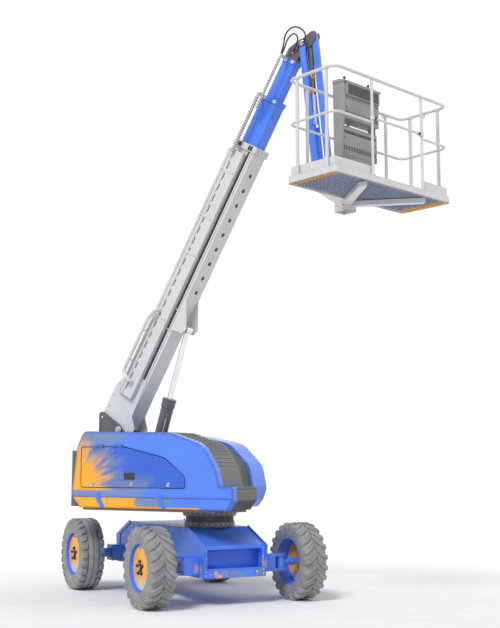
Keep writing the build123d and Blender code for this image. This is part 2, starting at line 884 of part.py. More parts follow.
def knuckle():
    """The level knuckle: two plates that carry the jib's pins."""
    a, b = nose_pin, link_top
    outline = [
        (a[0] - 55, a[1] - 55, 50),
        (a[0] - 45, a[1] + 60, 50),
        (b[0] - 40, b[1] + 45, 40),
        (b[0] + 45, b[1] + 45, 40),
        (b[0] + 45, b[1] - 40, 40),
        (cylinder_root[0] + 40, cylinder_root[1] - 40, 35),
        (a[0] + 40, a[1] - 55, 40),
    ]
    body = rod_y(a[0], a[1], 46, -knuckle_half_gap - knuckle_plate, knuckle_half_gap + knuckle_plate)
    for side in (-1, 1):
        body += outline_plate(outline, side * knuckle_half_gap, side * (knuckle_half_gap + knuckle_plate))
    body += rod_y(a[0], a[1], knuckle_pin / 2, -jib_arm_half_gap - jib_arm_plate - 14, jib_arm_half_gap + jib_arm_plate + 14)
    for x, z in (b, cylinder_root):
        body += rod_y(x, z, link_pin / 2, -knuckle_half_gap - knuckle_plate, knuckle_half_gap + knuckle_plate)
    return body


save("jib_knuckle", turntable, knuckle())


def bar_outline(length, depth):
    """The outline of a flat bar with round ends between two pins."""
    half = depth / 2
    return [
        (-half, -half, half - 1),
        (-half, half, half - 1),
        (length + half, half, half - 1),
        (length + half, -half, half - 1),
    ]


def jib_arm():
    """The outer jib arm: two plates tied by cross bars, outside the knuckle and the mount."""
    body = None
    for side in (-1, 1):
        y0, y1 = side * jib_arm_half_gap, side * (jib_arm_half_gap + jib_arm_plate)
        leaf = outline_plate(bar_outline(jib_length, jib_arm_depth), y0, y1)
        for x in (0, jib_length):
            leaf -= rod_y(x, 0, knuckle_pin / 2 + pin_gap, y0 - side, y1 + side)
        body = leaf if body is None else body + leaf
    body += rod_y(jib_eye_along, jib_eye_out, link_pin / 2, -jib_arm_half_gap - 2, -jib_eye_half_width - 4)
    body += rod_y(jib_eye_along, jib_eye_out, link_pin / 2, jib_eye_half_width + 4, jib_arm_half_gap + 2)
    body += rod_y(jib_length - 250, 0, 25, -jib_arm_half_gap - 2, jib_arm_half_gap + 2)
    return body


save("jib_arm", jib, jib_arm())


def jib_link():
    """The inner jib link: one box between its two pins."""
    body = outline_plate(bar_outline(jib_length, jib_link_depth), -jib_link_half_width, jib_link_half_width)
    for x in (0, jib_length):
        body -= rod_y(x, 0, link_pin / 2 + pin_gap, -jib_link_half_width - 1, jib_link_half_width + 1)
    return body


save("jib_link", link, jib_link())


def jib_barrel():
    """The jib cylinder's barrel with its root eye."""
    body = rod_x(20, jib_barrel_length, 0, 0, jib_barrel_diameter / 2)
    body += rod_y(0, 0, jib_eye_radius, -jib_eye_half_width, jib_eye_half_width)
    body -= rod_y(0, 0, link_pin / 2 + pin_gap, -jib_eye_half_width - 1, jib_eye_half_width + 1)
    body -= rod_x(120, jib_barrel_length + 1, 0, 0, jib_rod_diameter / 2 + running_gap)
    return body


def jib_rod():
    """The jib cylinder's rod with its eye."""
    body = rod_x(jib_cylinder_length - 880, jib_cylinder_length - 10, 0, 0, jib_rod_diameter / 2)
    body += rod_y(jib_cylinder_length, 0, jib_eye_radius - 4, -jib_eye_half_width + 8, jib_eye_half_width - 8)
    return body


save("jib_barrel", ram, jib_barrel())
save("jib_rod", ram, jib_rod())

# Platform mount at the jib's foot


def platform_mount():
    """Two plates with both jib pins, carrying the rotator's upright housing."""
    c, d = jib_foot, link_foot
    outline = [
        (c[0] - 50, c[1] - 50, 45),
        (c[0] - 50, c[1] + 55, 45),
        (d[0] - 45, d[1] + 50, 40),
        (rotator_x, d[1] + 50, 0),
        (rotator_x, rotator_bottom, 0),
        (rotator_x - 60, rotator_bottom, 0),
    ]
    body = rod_y(c[0], c[1], 45, -knuckle_half_gap - knuckle_plate, knuckle_half_gap + knuckle_plate)
    for side in (-1, 1):
        y0, y1 = side * (knuckle_half_gap - 3), side * (knuckle_half_gap + knuckle_plate - 5)
        body += outline_plate(outline, y0, y1)
    body += rod_y(c[0], c[1], knuckle_pin / 2, -jib_arm_half_gap - jib_arm_plate - 14, jib_arm_half_gap + jib_arm_plate + 14)
    body += rod_y(d[0], d[1], link_pin / 2, -knuckle_half_gap - 2, knuckle_half_gap + 2)
    body += rod_z(rotator_x, 0, rotator_bottom, rotator_top, rotator_radius)
    body -= rod_z(rotator_x, 0, rotator_bottom - 1, rotator_bottom + 120, rotator_shaft / 2 + running_gap)
    return body


save("platform_mount", turntable, platform_mount())

# Platform, in its own frame
rim_top = rim_bottom + rim_height


def platform_support():
    """The foot block on the rotator's shaft and two beams under the floor."""
    foot_top = rotator_bottom - running_gap
    body = block(-55, 150, -90, 90, foot_bottom, foot_top)
    top = rim_bottom - 0.3
    for side in (-1, 1):
        run = [(60, side * 20), (60, side * 90), (platform_front - 120, side * 620), (platform_front - 40, side * 560),
               (150, side * 20)]
        face = make_face(Polyline(*run, close=True))
        body += Pos(0, 0, top - support_beam) * extrude(face, amount=support_beam)
        hollow = offset(face, amount=-beam_wall)
        body -= Pos(0, 0, top - support_beam + beam_wall) * extrude(hollow, amount=support_beam)
    body -= block(-55 + foot_wall, 150 - foot_wall, -90 + foot_wall, 90 - foot_wall, foot_bottom - 1, foot_top - foot_wall)
    body += rod_z(0, 0, foot_top - foot_wall, rotator_bottom + 100, rotator_shaft / 2)
    return body


save("platform_support", platform, platform_support())


def rim_block(inset, z0, z1, corner=0):
    """The platform's plan outline, drawn in by an inset, between two heights."""
    body = block(platform_rear + inset, platform_front - inset, platform_near + inset, platform_far - inset, z0, z1)
    if corner > 0:
        body = fillet(body.edges().filter_by(Axis.Z), corner)
    return body


def platform_floor():
    """The rim, a channel open below, with the floor plate inside it."""
    groove_top = rim_top - rim_sheet
    body = rim_block(0, rim_bottom, rim_top, rim_corner) - rim_block(rim_breadth, rim_bottom - 1, rim_top + 1)
    groove = rim_block(rim_sheet, rim_bottom - 1, groove_top, rim_corner - rim_sheet)
    body -= groove - rim_block(rim_breadth - rim_sheet, rim_bottom - 2, groove_top + 1)
    floor_bottom = rim_top - floor_drop
    body += rim_block(rim_breadth - rim_sheet / 2, floor_bottom, floor_bottom + floor_plate)
    return body


save("platform_floor", platform, platform_floor())


def rail_path(z, start, end):
    """A rounded rail line round the platform at one height, from one end point to another."""
    half = rail_tube / 2
    x0, x1 = platform_rear + half, platform_front - half
    y0, y1 = platform_near + half, platform_far - half
    corners = [(x1, y0, z), (x0, y0, z), (x0, y1, z), (x1, y1, z)]
    points = [start] + corners + [end]
    return FilletPolyline(*points, radius=rail_corner)


def sweep_tube(path, radius):
    """A round tube along a path."""
    start = path.position_at(0)
    direction = path.tangent_at(0)
    return sweep(Plane(origin=start, z_dir=direction) * Circle(radius), path=path)


entry_y0 = platform_near + entry_from * platform_width
entry_y1 = platform_near + entry_to * platform_width
front_x = platform_front - rail_tube / 2
rear_x = platform_rear + rail_tube / 2


def platform_rails():
    """Top rail all round, mid rail open at the entry, round posts beside it and flat posts elsewhere."""
    radius = rail_tube / 2
    middle = (entry_y0 + entry_y1) / 2
    body = sweep_tube(rail_path(rail_top - radius, (front_x, middle, rail_top - radius),
                                (front_x, middle + 0.01, rail_top - radius)), radius)
    body += sweep_tube(rail_path(rail_mid, (front_x, entry_y0, rail_mid), (front_x, entry_y1, rail_mid)), radius - 3)
    near_y = platform_near + radius
    far_y = platform_far - radius
    for y in (entry_y0, entry_y1):
        body += rod_z(front_x, y, rim_top + 0.3, rail_top - radius, radius - 2)
    posts = [
        (front_x - 130, near_y),
        (rear_x + 150, near_y),
        (front_x - 150, far_y),
        (rear_x + 150, far_y),
        (rear_x, near_y + 330),
        (rear_x, platform_side_offset),
        (rear_x, far_y - 330),
    ]
    for x, y in posts:
        along_x = abs(y - near_y) < 1 or abs(y - far_y) < 1
        size_x = post_size[1] if along_x else post_size[0]
        size_y = post_size[0] if along_x else post_size[1]
        body += block(x - size_x / 2, x + size_x / 2, y - size_y / 2, y + size_y / 2, rim_top + 0.3, rail_top - radius)
    return body


save("platform_rails", platform, platform_rails())


def toe_boards():
    """Upright boards on the floor rim, with the entry left open."""
    x0, x1 = platform_rear + rail_tube, platform_front - rail_tube
    y0, y1 = platform_near + rail_tube, platform_far - rail_tube
    low, high = rim_top + 0.3, rim_top + toe_height
    t = toe_plate
    body = block(x0, x0 + t, y0, y1, low, high)
    body += block(x0, x1, y0, y0 + t, low, high)
    body += block(x0, x1, y1 - t, y1, low, high)
    body += block(x1 - t, x1, y0, entry_y0, low, high)
    body += block(x1 - t, x1, entry_y1, y1, low, high)
    return body


save("toe_boards", platform, toe_boards())

# Control console on the rear rail, and the sliding entry rail
console_x = platform_rear + rail_tube + 0.3
console_y = platform_side_offset - 180
console_top = console_bottom + console_size[2]
console = block(console_x, console_x + console_size[0], console_y, console_y + console_size[1], console_bottom, console_top)
console -= block(console_x + console_wall, console_x + console_size[0] - console_wall, console_y + console_wall,
                 console_y + console_size[1] - console_wall, console_bottom - 1, console_top - console_wall)
save("control_console", platform, console)

entry_collar = rail_tube / 2 + 6
entry = rod_y(front_x, rail_mid + 60, rail_tube / 2 - 4, entry_y0 + rail_tube / 2 + 1, entry_y1 - rail_tube / 2 - 1)
for y in (entry_y0, entry_y1):
    ring = rod_z(front_x, y, rail_mid + 30, rail_mid + 90, entry_collar)
    entry += ring - rod_z(front_x, y, rail_mid + 29, rail_mid + 91, rail_tube / 2 - 2 + running_gap)
save("entry_rail", platform, entry)
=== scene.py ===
import json
import math
import random

import bmesh
import bpy
from bpy.props import FloatProperty, FloatVectorProperty, IntProperty, PointerProperty
from mathutils import Matrix, Vector


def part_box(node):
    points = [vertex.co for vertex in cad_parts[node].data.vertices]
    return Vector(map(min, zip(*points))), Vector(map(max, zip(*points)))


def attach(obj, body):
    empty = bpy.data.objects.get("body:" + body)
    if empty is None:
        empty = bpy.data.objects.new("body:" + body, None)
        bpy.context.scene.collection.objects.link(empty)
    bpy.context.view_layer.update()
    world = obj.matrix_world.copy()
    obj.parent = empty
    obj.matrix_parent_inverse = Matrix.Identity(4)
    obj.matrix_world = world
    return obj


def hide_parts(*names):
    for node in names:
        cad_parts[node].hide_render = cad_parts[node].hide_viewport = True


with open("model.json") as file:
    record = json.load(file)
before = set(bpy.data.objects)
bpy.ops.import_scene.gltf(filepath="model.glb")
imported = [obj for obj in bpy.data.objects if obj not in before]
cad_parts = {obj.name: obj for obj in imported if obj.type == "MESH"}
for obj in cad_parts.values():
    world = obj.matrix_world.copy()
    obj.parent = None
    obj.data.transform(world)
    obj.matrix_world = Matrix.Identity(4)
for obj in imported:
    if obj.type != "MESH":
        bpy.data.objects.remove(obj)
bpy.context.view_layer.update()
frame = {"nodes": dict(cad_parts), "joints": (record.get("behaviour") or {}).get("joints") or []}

bl_info = {
    "name": "Boom Lift Finishes",
    "version": (1, 0, 0),
    "blender": (4, 5, 0),
    "location": "View3D > Sidebar > Boom Lift",
    "description": "Dresses a telescopic boom lift: paint, tyres, bolts, hoses and platform fittings",
    "category": "Object",
}

JOINTS = {joint["name"]: joint for joint in frame["joints"]}
NODES = frame["nodes"]
UP = Vector((0, 0, 1))
OUTWARDS = (1, 0, 0)
SIDES = (-1, 1)


# Places and directions, taken from the joints


def joint_point(name):
    """Where a joint sits, in metres."""
    return Vector(JOINTS[name]["pos_m"])


def joint_axis(name):
    """The direction of a joint's axis."""
    return Vector(JOINTS[name]["axis"])


BOOM_LEFT = -joint_axis("boom_lift")
BOOM_AHEAD = BOOM_LEFT.cross(UP)


def placed(point, ahead, left=BOOM_LEFT):
    """A frame at a point, with X ahead, Y to the left and Z across both."""
    ahead = ahead.normalized()
    left = left.normalized()
    matrix = Matrix((ahead, left, ahead.cross(left))).transposed().to_4x4()
    matrix.translation = point
    return matrix


def at(place, point, degrees=0.0, axis="Z"):
    """The same frame at another of its points, turned about one of its axes."""
    return place @ Matrix.Translation(Vector(point)) @ Matrix.Rotation(math.radians(degrees), 4, axis)


def sideways(place, point, side=1):
    """A frame whose X axis points out to one side, for round parts that stand across."""
    return at(place, point, side * 90)


def upright(place, point):
    """A frame whose X axis points up, for round parts that stand on end."""
    return at(place, point, -90, "Y")


def on_ground(point):
    """The same plan point at ground height."""
    return Vector((point.x, point.y, 0))


PLATFORM_YAW = -14.5
MACHINE = placed(on_ground(joint_point("slew")), Vector((1, 0, 0)), Vector((0, 1, 0)))
TURNTABLE = placed(on_ground(joint_point("slew")), BOOM_AHEAD)
BOOM = placed(joint_point("boom_lift"), joint_axis("mid_extend"))
LIFT = placed(joint_point("lift_cylinder_pivot"), joint_axis("lift_cylinder_stroke"))
ARM_RUN = joint_point("mount_level") - joint_point("jib_lift")
JIB = placed(joint_point("knuckle_level"), ARM_RUN)
RAM = placed(joint_point("jib_cylinder_pivot"), joint_axis("jib_cylinder_stroke"))
KNUCKLE = placed(joint_point("knuckle_level"), BOOM_AHEAD)
PLATFORM = at(placed(on_ground(joint_point("platform_rotate")), BOOM_AHEAD), (0, 0, 0), PLATFORM_YAW)

# Faces of the solids that fittings sit on, each in its own frame, and how far fittings start inside them
SEAT = 0.001
CHASSIS_SIDE = 0.430
COVER_SIDE = 0.800
RISER_SIDE = 0.185
TRAY_SIDE = 0.212
BASE_SIDE = 0.140
ARM_SIDE = 0.092
WHEEL_FACE = 0.121
PLATFORM_REAR, PLATFORM_FRONT = 0.142, 0.932
PLATFORM_NEAR, PLATFORM_FAR = -1.1635, 1.0435
RIM_TOP = 5.1552
RAIL_INSET = 0.019
ENTRY_NEAR = PLATFORM_NEAR + 0.31 * 2.207
ENTRY_FAR = PLATFORM_NEAR + 0.745 * 2.207


# Mesh tools


def round_edges(bm, verts, bevel, segments=2):
    """Rounds every edge between these vertices that isn't flat."""
    if bevel <= 0:
        return
    chosen = set(verts)
    edges = [e for e in bm.edges if e.verts[0] in chosen and e.verts[1] in chosen
             and len(e.link_faces) == 2 and e.calc_face_angle(0) > math.radians(25)]
    bmesh.ops.bevel(bm, geom=edges, offset=bevel, segments=segments, profile=0.5,
                    affect="EDGES", clamp_overlap=True)


def add_block(bm, place, corner, opposite, bevel=0.002, segments=2):
    """A box between two opposite corners, with its edges rounded."""
    low = Vector(tuple(map(min, corner, opposite)))
    high = Vector(tuple(map(max, corner, opposite)))
    matrix = at(place, (high + low) / 2) @ Matrix.Diagonal((*(high - low), 1))
    made = bmesh.ops.create_cube(bm, size=1, matrix=matrix)["verts"]
    round_edges(bm, made, bevel, segments)


def join_rings(bm, rings):
    """Joins rings of vertices into a skin, closed at both ends, and returns its faces."""
    faces = []
    count = len(rings[0])
    for here, there in zip(rings, rings[1:]):
        for k in range(count):
            m = (k + 1) % count
            faces.append(bm.faces.new((here[k], here[m], there[m], there[k])))
    faces += [bm.faces.new(rings[0][::-1]), bm.faces.new(rings[-1])]
    bmesh.ops.recalc_face_normals(bm, faces=faces)
    return faces


def add_plate(bm, place, outline, y0, y1, bevel=0.002):
    """A plate with an outline in X and Z, from y0 to y1."""
    near, far = [[bm.verts.new(place @ Vector((x, y, z))) for x, z in outline] for y in sorted((y0, y1))]
    join_rings(bm, [far, near])
    round_edges(bm, near + far, bevel, 1)


def add_lathe(bm, place, profile, turns=48, closed=False, sweep=2 * math.pi):
    """Turns a profile of (distance along X, radius) round the X axis."""
    whole = abs(sweep - 2 * math.pi) < 1e-6
    steps = turns if whole else turns + 1
    rings = []
    for i in range(steps):
        angle = sweep * i / turns
        c, s = math.cos(angle), math.sin(angle)
        rings.append([bm.verts.new(place @ Vector((x, r * c, r * s))) for x, r in profile])
    faces = []
    count = len(profile)
    for i in range(turns):
        here, there = rings[i], rings[(i + 1) % len(rings)]
        for k in range(count if closed else count - 1):
            m = (k + 1) % count
            faces.append(bm.faces.new((here[k], here[m], there[m], there[k])))
    if not closed and whole:
        faces.append(bm.faces.new([ring[0] for ring in rings]))
        faces.append(bm.faces.new([ring[-1] for ring in rings[::-1]]))
    if closed and not whole:
        faces.append(bm.faces.new(rings[0]))
        faces.append(bm.faces.new(rings[-1][::-1]))
    bmesh.ops.recalc_face_normals(bm, faces=faces)


def add_round(bm, place, x0, x1, radius, chamfer=0.002, turns=32):
    """A round bar along X with chamfered ends."""
    add_lathe(bm, place, [(x0, radius - chamfer), (x0 + chamfer, radius),
                          (x1 - chamfer, radius), (x1, radius - chamfer)], turns)


def bent_line(points):
    """The smooth line of a bent tube or hose, read from a NURBS spline through its route."""
    data = bpy.data.curves.new("route", "CURVE")
    data.dimensions = "3D"
    data.resolution_u = 8
    spline = data.splines.new("NURBS")
    spline.points.add(len(points) - 1)
    for control, point in zip(spline.points, points):
        control.co = (*point, 1.0)
    spline.order_u = 3
    spline.use_endpoint_u = True
    holder = bpy.data.objects.new("route", data)
    mesh = bpy.data.meshes.new_from_object(holder)
    line = [v.co.copy() for v in mesh.vertices]
    bpy.data.objects.remove(holder)
    bpy.data.curves.remove(data)
    bpy.data.meshes.remove(mesh)
    return line


def add_tube(bm, place, points, radius, sides=12):
    """A round tube that follows a line of points, closed at its ends."""
    line = [place @ Vector(p) for p in points]
    normal = None
    rings = []
    for i, point in enumerate(line):
        ahead = (line[min(i + 1, len(line) - 1)] - line[max(i - 1, 0)]).normalized()
        if normal is None:
            normal = ahead.orthogonal().normalized()
        normal = (normal - ahead * normal.dot(ahead)).normalized()
        side = ahead.cross(normal)
        rings.append([bm.verts.new(point + normal * a + side * b) for a, b in circle(sides, radius)])
    join_rings(bm, rings)


def circle(count, radius, start=0.0):
    """Points spaced evenly round a circle."""
    angles = [2 * math.pi * i / count + start for i in range(count)]
    return [(radius * math.cos(angle), radius * math.sin(angle)) for angle in angles]


def add_bolt(bm, place, point, out, size):
    """A hexagon head on a washer. The direction out points away from what it holds."""
    turned = Vector(OUTWARDS).rotation_difference(Vector(out).normalized()).to_matrix().to_4x4()
    matrix = at(place, point) @ turned
    add_lathe(bm, matrix, [(-0.001, size * 1.15), (size * 0.16, size * 1.15), (size * 0.2, size * 1.08)], 20)
    add_lathe(bm, matrix, [(size * 0.2, size * 0.92), (size * 0.75, size * 0.92), (size * 0.9, size * 0.72)], 6)


def add_cap(bm, place, point, side, radius, bolt, bolts=3):
    """A round pin cap that stands out to one side, with bolts in it."""
    out = sideways(place, point, side)
    add_lathe(bm, out, [(-0.002, radius), (0.006, radius), (0.010, radius * 0.86), (0.011, radius * 0.5),
                        (0.014, radius * 0.46), (0.014, radius * 0.2)], 36)
    for across, high in circle(bolts, radius * 0.68, 0.4):
        add_bolt(bm, out, (0.009, across, high), OUTWARDS, bolt)


def add_eye(bm, place, ring, wire):
    """A lifting, lashing or harness eye: a ring across X."""
    line = [(0, across, high) for across, high in circle(24, ring)]
    add_tube(bm, place, line + line[:1], wire, 10)


def piece(name, bm, body, material, angle=35):
    """Makes a piece of the built mesh, shades it and lets it ride on a body."""
    mesh = bpy.data.meshes.new(name)
    bm.normal_update()
    bm.to_mesh(mesh)
    bm.free()
    for face in mesh.polygons:
        face.use_smooth = True
    mesh.set_sharp_from_angle(angle=math.radians(angle))
    made = bpy.data.objects.new(name, mesh)
    bpy.context.scene.collection.objects.link(made)
    mesh.materials.append(FINISHES[material])
    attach(made, body)
    return made


# Finishes


class Tree:
    """Short calls for building a tree of nodes."""

    def __init__(self, tree):
        self.tree = tree

    def make(self, kind, inputs=None, **settings):
        """A new node with these settings, and with a value or a socket joined to each of these inputs."""
        node = self.tree.nodes.new(kind)
        for key, value in settings.items():
            setattr(node, key, value)
        for key, value in (inputs or {}).items():
            self.join(value, node.inputs[key])
        return node

    def join(self, value, socket):
        if isinstance(value, bpy.types.NodeSocket):
            self.tree.links.new(value, socket)
        else:
            socket.default_value = value

    def math(self, operation, a, b=0.0):
        return self.make("ShaderNodeMath", {0: a, 1: b}, operation=operation).outputs[0]


class Nodes(Tree):
    """Short calls for building a material."""

    def __init__(self, name):
        self.material = bpy.data.materials.new(name)
        self.material.use_nodes = True
        super().__init__(self.material.node_tree)
        self.shader = next(n for n in self.tree.nodes if n.type == "BSDF_PRINCIPLED")
        self.place = self.make("ShaderNodeTexCoord").outputs["Object"]

    def times(self, first, *others):
        """The product of all its values."""
        for other in others:
            first = self.math("MULTIPLY", first, other)
        return first

    def reach(self, a, b):
        """The length of the line with these two legs."""
        return self.math("SQRT", self.math("ADD", self.times(a, a), self.times(b, b)))

    def dot(self, a, b):
        return self.make("ShaderNodeVectorMath", {0: a, 1: b}, operation="DOT_PRODUCT").outputs["Value"]

    def along(self, point, direction):
        """How far the surface lies from a point along a direction, in metres."""
        direction = Vector(direction).normalized()
        return self.math("SUBTRACT", self.dot(self.place, tuple(direction)), Vector(point).dot(direction))

    def noise(self, scale, detail=4.0, rough=0.55, vector=None, distortion=0.0):
        inputs = {"Vector": vector or self.place, "Scale": scale, "Detail": detail, "Roughness": rough,
                  "Distortion": distortion}
        return self.make("ShaderNodeTexNoise", inputs).outputs["Fac"]

    def stretched(self, rotation, scale):
        inputs = {"Vector": self.place, "Rotation": rotation, "Scale": scale}
        return self.make("ShaderNodeMapping", inputs).outputs[0]

    def ramp(self, value, low, high, to_low=0.0, to_high=1.0):
        inputs = {"Value": value, "From Min": low, "From Max": high, "To Min": to_low, "To Max": to_high}
        return self.make("ShaderNodeMapRange", inputs, interpolation_type="SMOOTHSTEP").outputs["Result"]

    def mix(self, share, a, b):
        inputs = {0: share, 6: colour4(a), 7: colour4(b)}
        return self.make("ShaderNodeMix", inputs, data_type="RGBA").outputs[2]

    def edges(self, radius):
        """1 within a radius of an edge and 0 on flat faces."""
        bevel = self.make("ShaderNodeBevel", {"Radius": radius}, samples=6)
        normal = self.make("ShaderNodeNewGeometry").outputs["Normal"]
        return self.ramp(self.dot(bevel.outputs[0], normal), 0.995, 0.86)

    def inked(self, base, radius, share):
        """The base colour with dirt along the edges."""
        return self.mix(self.times(self.edges(radius), share), base, INK)

    def surface(self, colour, rough, height, strength, distance, soften=0.003):
        """Joins colour, roughness and a bump over softly rounded edges to the shader."""
        bevel = self.make("ShaderNodeBevel", {"Radius": soften}, samples=4)
        bump = self.make("ShaderNodeBump", {"Strength": strength, "Distance": distance, "Height": height,
                                            "Normal": bevel.outputs[0]})
        for key, value in (("Base Color", colour4(colour)), ("Roughness", rough), ("Normal", bump.outputs[0])):
            self.join(value, self.shader.inputs[key])
        FINISHES[self.material.name] = self.material


def colour4(value):
    """A colour with its fourth number, or the socket as it is."""
    if isinstance(value, bpy.types.NodeSocket):
        return value
    return (*tuple(value)[:3], 1.0)


def from_screen(red, green, blue):
    """A screen colour, each part 0 to 255, as the shader's colour."""
    made = []
    for part in (red, green, blue):
        value = part / 255
        made.append(value / 12.92 if value <= 0.04045 else ((value + 0.055) / 1.055) ** 2.4)
    return tuple(made)


def grey(value):
    """A neutral screen colour."""
    return from_screen(value, value, value)


def shaded(colour, share):
    """A colour darkened (below 1) or lightened (above 1)."""
    return tuple(min(1.0, part * share) for part in tuple(colour)[:3])


INK = from_screen(14, 15, 18)
LOUVRE_GREY = from_screen(84, 84, 86)
FINISHES = {}


def paint(name, colour, dark, rough=0.38, coat=0.25, line=0.006, smear=None, soften=0.003):
    """Sprayed paint: two tones, dirt in the edges, fine orange peel and a thin coat."""
    n = Nodes(name)
    tone = n.ramp(n.noise(2.2, 5.0), 0.35, 0.7)
    base = n.mix(n.times(tone, 0.35), colour, dark)
    grit = n.ramp(n.noise(55.0, 6.0, 0.7), 0.60, 0.78)
    base = n.mix(n.times(grit, 0.12), base, shaded(dark, 0.5))
    if smear is not None:
        base = smear(n, base)
    dirt = n.times(n.edges(line), 0.75)
    worn = n.ramp(n.noise(14.0), 0.3, 0.62, 0.55, 1.0)
    base = n.mix(n.times(dirt, worn), base, INK)
    peel = n.noise(260.0, 2.0)
    gloss = n.ramp(n.noise(7.0), 0.3, 0.75, rough - 0.07, rough + 0.1)
    n.shader.inputs["Coat Weight"].default_value = coat
    n.shader.inputs["Coat Roughness"].default_value = 0.18
    n.surface(base, gloss, peel, 0.12, 0.0006, soften)


def rubber(name, colour, worn_colour):
    """Tyre rubber: matt, paler where it scuffs, with dust in it."""
    n = Nodes(name)
    tone = n.ramp(n.noise(6.0, 6.0), 0.35, 0.68)
    base = n.mix(n.times(tone, 0.6), colour, worn_colour)
    dusty = n.ramp(n.noise(70.0, 6.0, 0.7), 0.52, 0.75)
    base = n.mix(n.times(dusty, 0.3), base, shaded(worn_colour, 1.25))
    base = n.inked(base, 0.008, 0.75)
    n.surface(base, n.ramp(n.noise(22.0), 0.3, 0.7, 0.72, 0.92), n.noise(190.0, 5.0, 0.7), 0.35, 0.0012)


def bare_metal(name, colour, dark, rough):
    """Polished or plated metal with fine scratches and a little oil."""
    n = Nodes(name)
    lines = n.noise(60.0, 6.0, 0.7, n.stretched((0.3, 0.8, 0.2), (1, 9, 1)))
    oil = n.ramp(n.noise(9.0), 0.45, 0.75)
    base = n.inked(n.mix(n.times(oil, 0.5), colour, dark), 0.003, 0.6)
    n.shader.inputs["Metallic"].default_value = 0.85
    n.surface(base, n.ramp(lines, 0.3, 0.7, rough - 0.06, rough + 0.14), lines, 0.15, 0.0005)


def plain_rubber(name, colour, rough=0.6):
    """Hose cover: dark, soft and slightly mottled."""
    n = Nodes(name)
    base = n.mix(n.ramp(n.noise(16.0, 5.0), 0.35, 0.7), colour, shaded(colour, 1.7))
    n.surface(base, n.ramp(n.noise(34.0), 0.3, 0.7, rough - 0.08, rough + 0.1), n.noise(120.0), 0.25, 0.0008)


def disc_paint(name, centre):
    """Wheel paint: a bright disc that fades paler towards the ground, in a blue rim."""
    n = Nodes(name)
    look = bpy.context.scene.boom_lift_colours
    across = n.along(centre, (0, 1, 0))
    high = n.along(centre, (0, 0, 1))
    faded = n.ramp(n.math("ADD", high, n.times(n.noise(9.0), 0.12)), 0.0, -0.17)
    base = n.mix(faded, look.orange, look.cream)
    stained = n.ramp(n.noise(4.0, 5.0), 0.45, 0.7)
    base = n.mix(n.times(stained, 0.25), base, shaded(look.orange, 0.6))
    base = n.mix(n.ramp(n.reach(across, high), 0.276, 0.279), base, look.blue)
    base = n.inked(base, 0.006, 0.7)
    n.shader.inputs["Coat Weight"].default_value = 0.2
    n.surface(base, n.ramp(n.noise(12.0), 0.3, 0.7, 0.36, 0.52), n.noise(240.0, 2.0), 0.12, 0.0006)


def fan_smear(n, base, x, z, near):
    """Rust and dust that fan out from the rear foot of the near cover."""
    look = bpy.context.scene.boom_lift_colours
    dx, dz = n.math("ADD", x, 1.70), n.math("SUBTRACT", z, 1.42)
    reach = n.reach(dx, dz)
    inputs = {0: n.times(n.math("ARCTAN2", dz, dx), 5.0), 1: n.times(reach, 1.6)}
    streak = n.noise(1.5, 4.0, 0.6, n.make("ShaderNodeCombineXYZ", inputs).outputs[0])
    above = n.ramp(z, 1.40, 1.44)
    rust = n.times(n.ramp(n.math("SUBTRACT", reach, n.times(streak, 0.9)), 0.30, -0.10), above)
    dust = n.times(n.ramp(n.math("SUBTRACT", reach, n.times(streak, 1.5)), 0.30, -0.12), above)
    foot = n.math("SUBTRACT", n.times(x, 0.55), n.noise(3.0))
    low = n.times(n.ramp(foot, -0.62, -0.78), n.ramp(z, 1.66, 1.50), 0.8)
    base = n.mix(n.times(n.math("MAXIMUM", dust, low), near, 0.75), base, look.dust)
    return n.mix(n.times(rust, near, 0.95), base, look.orange)


def cover_smear(door):
    """The smears of the near cover, and its dark louvred band, or those of its door."""

    def add(n, base):
        look = bpy.context.scene.boom_lift_colours
        x, y, z = [n.along(TURNTABLE.translation, direction) for direction in (BOOM_AHEAD, BOOM_LEFT, UP)]
        near = n.ramp(y, -0.70, -0.76)
        base = fan_smear(n, base, x, z, near)
        if door:
            return base
        skirt = n.ramp(z, 1.334, 1.330)
        ragged = n.math("ADD", x, n.times(n.noise(4.0), 0.35))
        orange = n.times(skirt, n.ramp(ragged, -0.38, -0.46))
        foot = n.times(n.ramp(z, 1.225, 1.205), n.ramp(ragged, 0.62, 0.5))
        dusty = n.times(skirt, n.ramp(ragged, 0.12, 0.0), near, 0.75)
        band = n.times(n.ramp(z, 2.06, 2.09), n.ramp(z, 2.17, 2.14))
        band = n.times(band, n.ramp(ragged, -0.55, -0.7), n.ramp(ragged, -1.42, -1.3))
        base = n.mix(n.times(band, near, 0.6), base, look.dust)
        base = n.mix(dusty, base, look.dust)
        base = n.mix(n.times(n.math("MAXIMUM", orange, foot), near), base, look.orange)
        upper = n.times(n.ramp(x, -0.374, -0.370), n.ramp(z, 1.488, 1.492))
        lower = n.times(n.ramp(x, 0.740, 0.744), n.ramp(z, 1.464, 1.460))
        inner = n.times(n.ramp(y, -0.702, -0.698), n.math("MAXIMUM", upper, lower))
        return n.mix(inner, base, LOUVRE_GREY)

    return add


def low_smear(n, base):
    """Patches of rust and pale dust low down on the running gear."""
    look = bpy.context.scene.boom_lift_colours
    low = n.ramp(n.along((0, 0, 0), UP), 0.62, 0.42)
    dust = n.times(n.ramp(n.noise(1.7, 4.0, 0.55, distortion=0.4), 0.47, 0.56), low)
    rust = n.times(n.ramp(n.noise(2.6, 5.0, 0.6), 0.56, 0.62), low)
    base = n.mix(n.times(dust, 0.6), base, look.dust)
    return n.mix(n.times(rust, 0.7), base, look.orange)


# Settings that a user would change


def colour_setting(name, description, red, green, blue):
    """A colour with its default given as a screen colour."""
    return FloatVectorProperty(name=name, description=description, subtype="COLOR", size=3, min=0, max=1,
                               default=from_screen(red, green, blue))


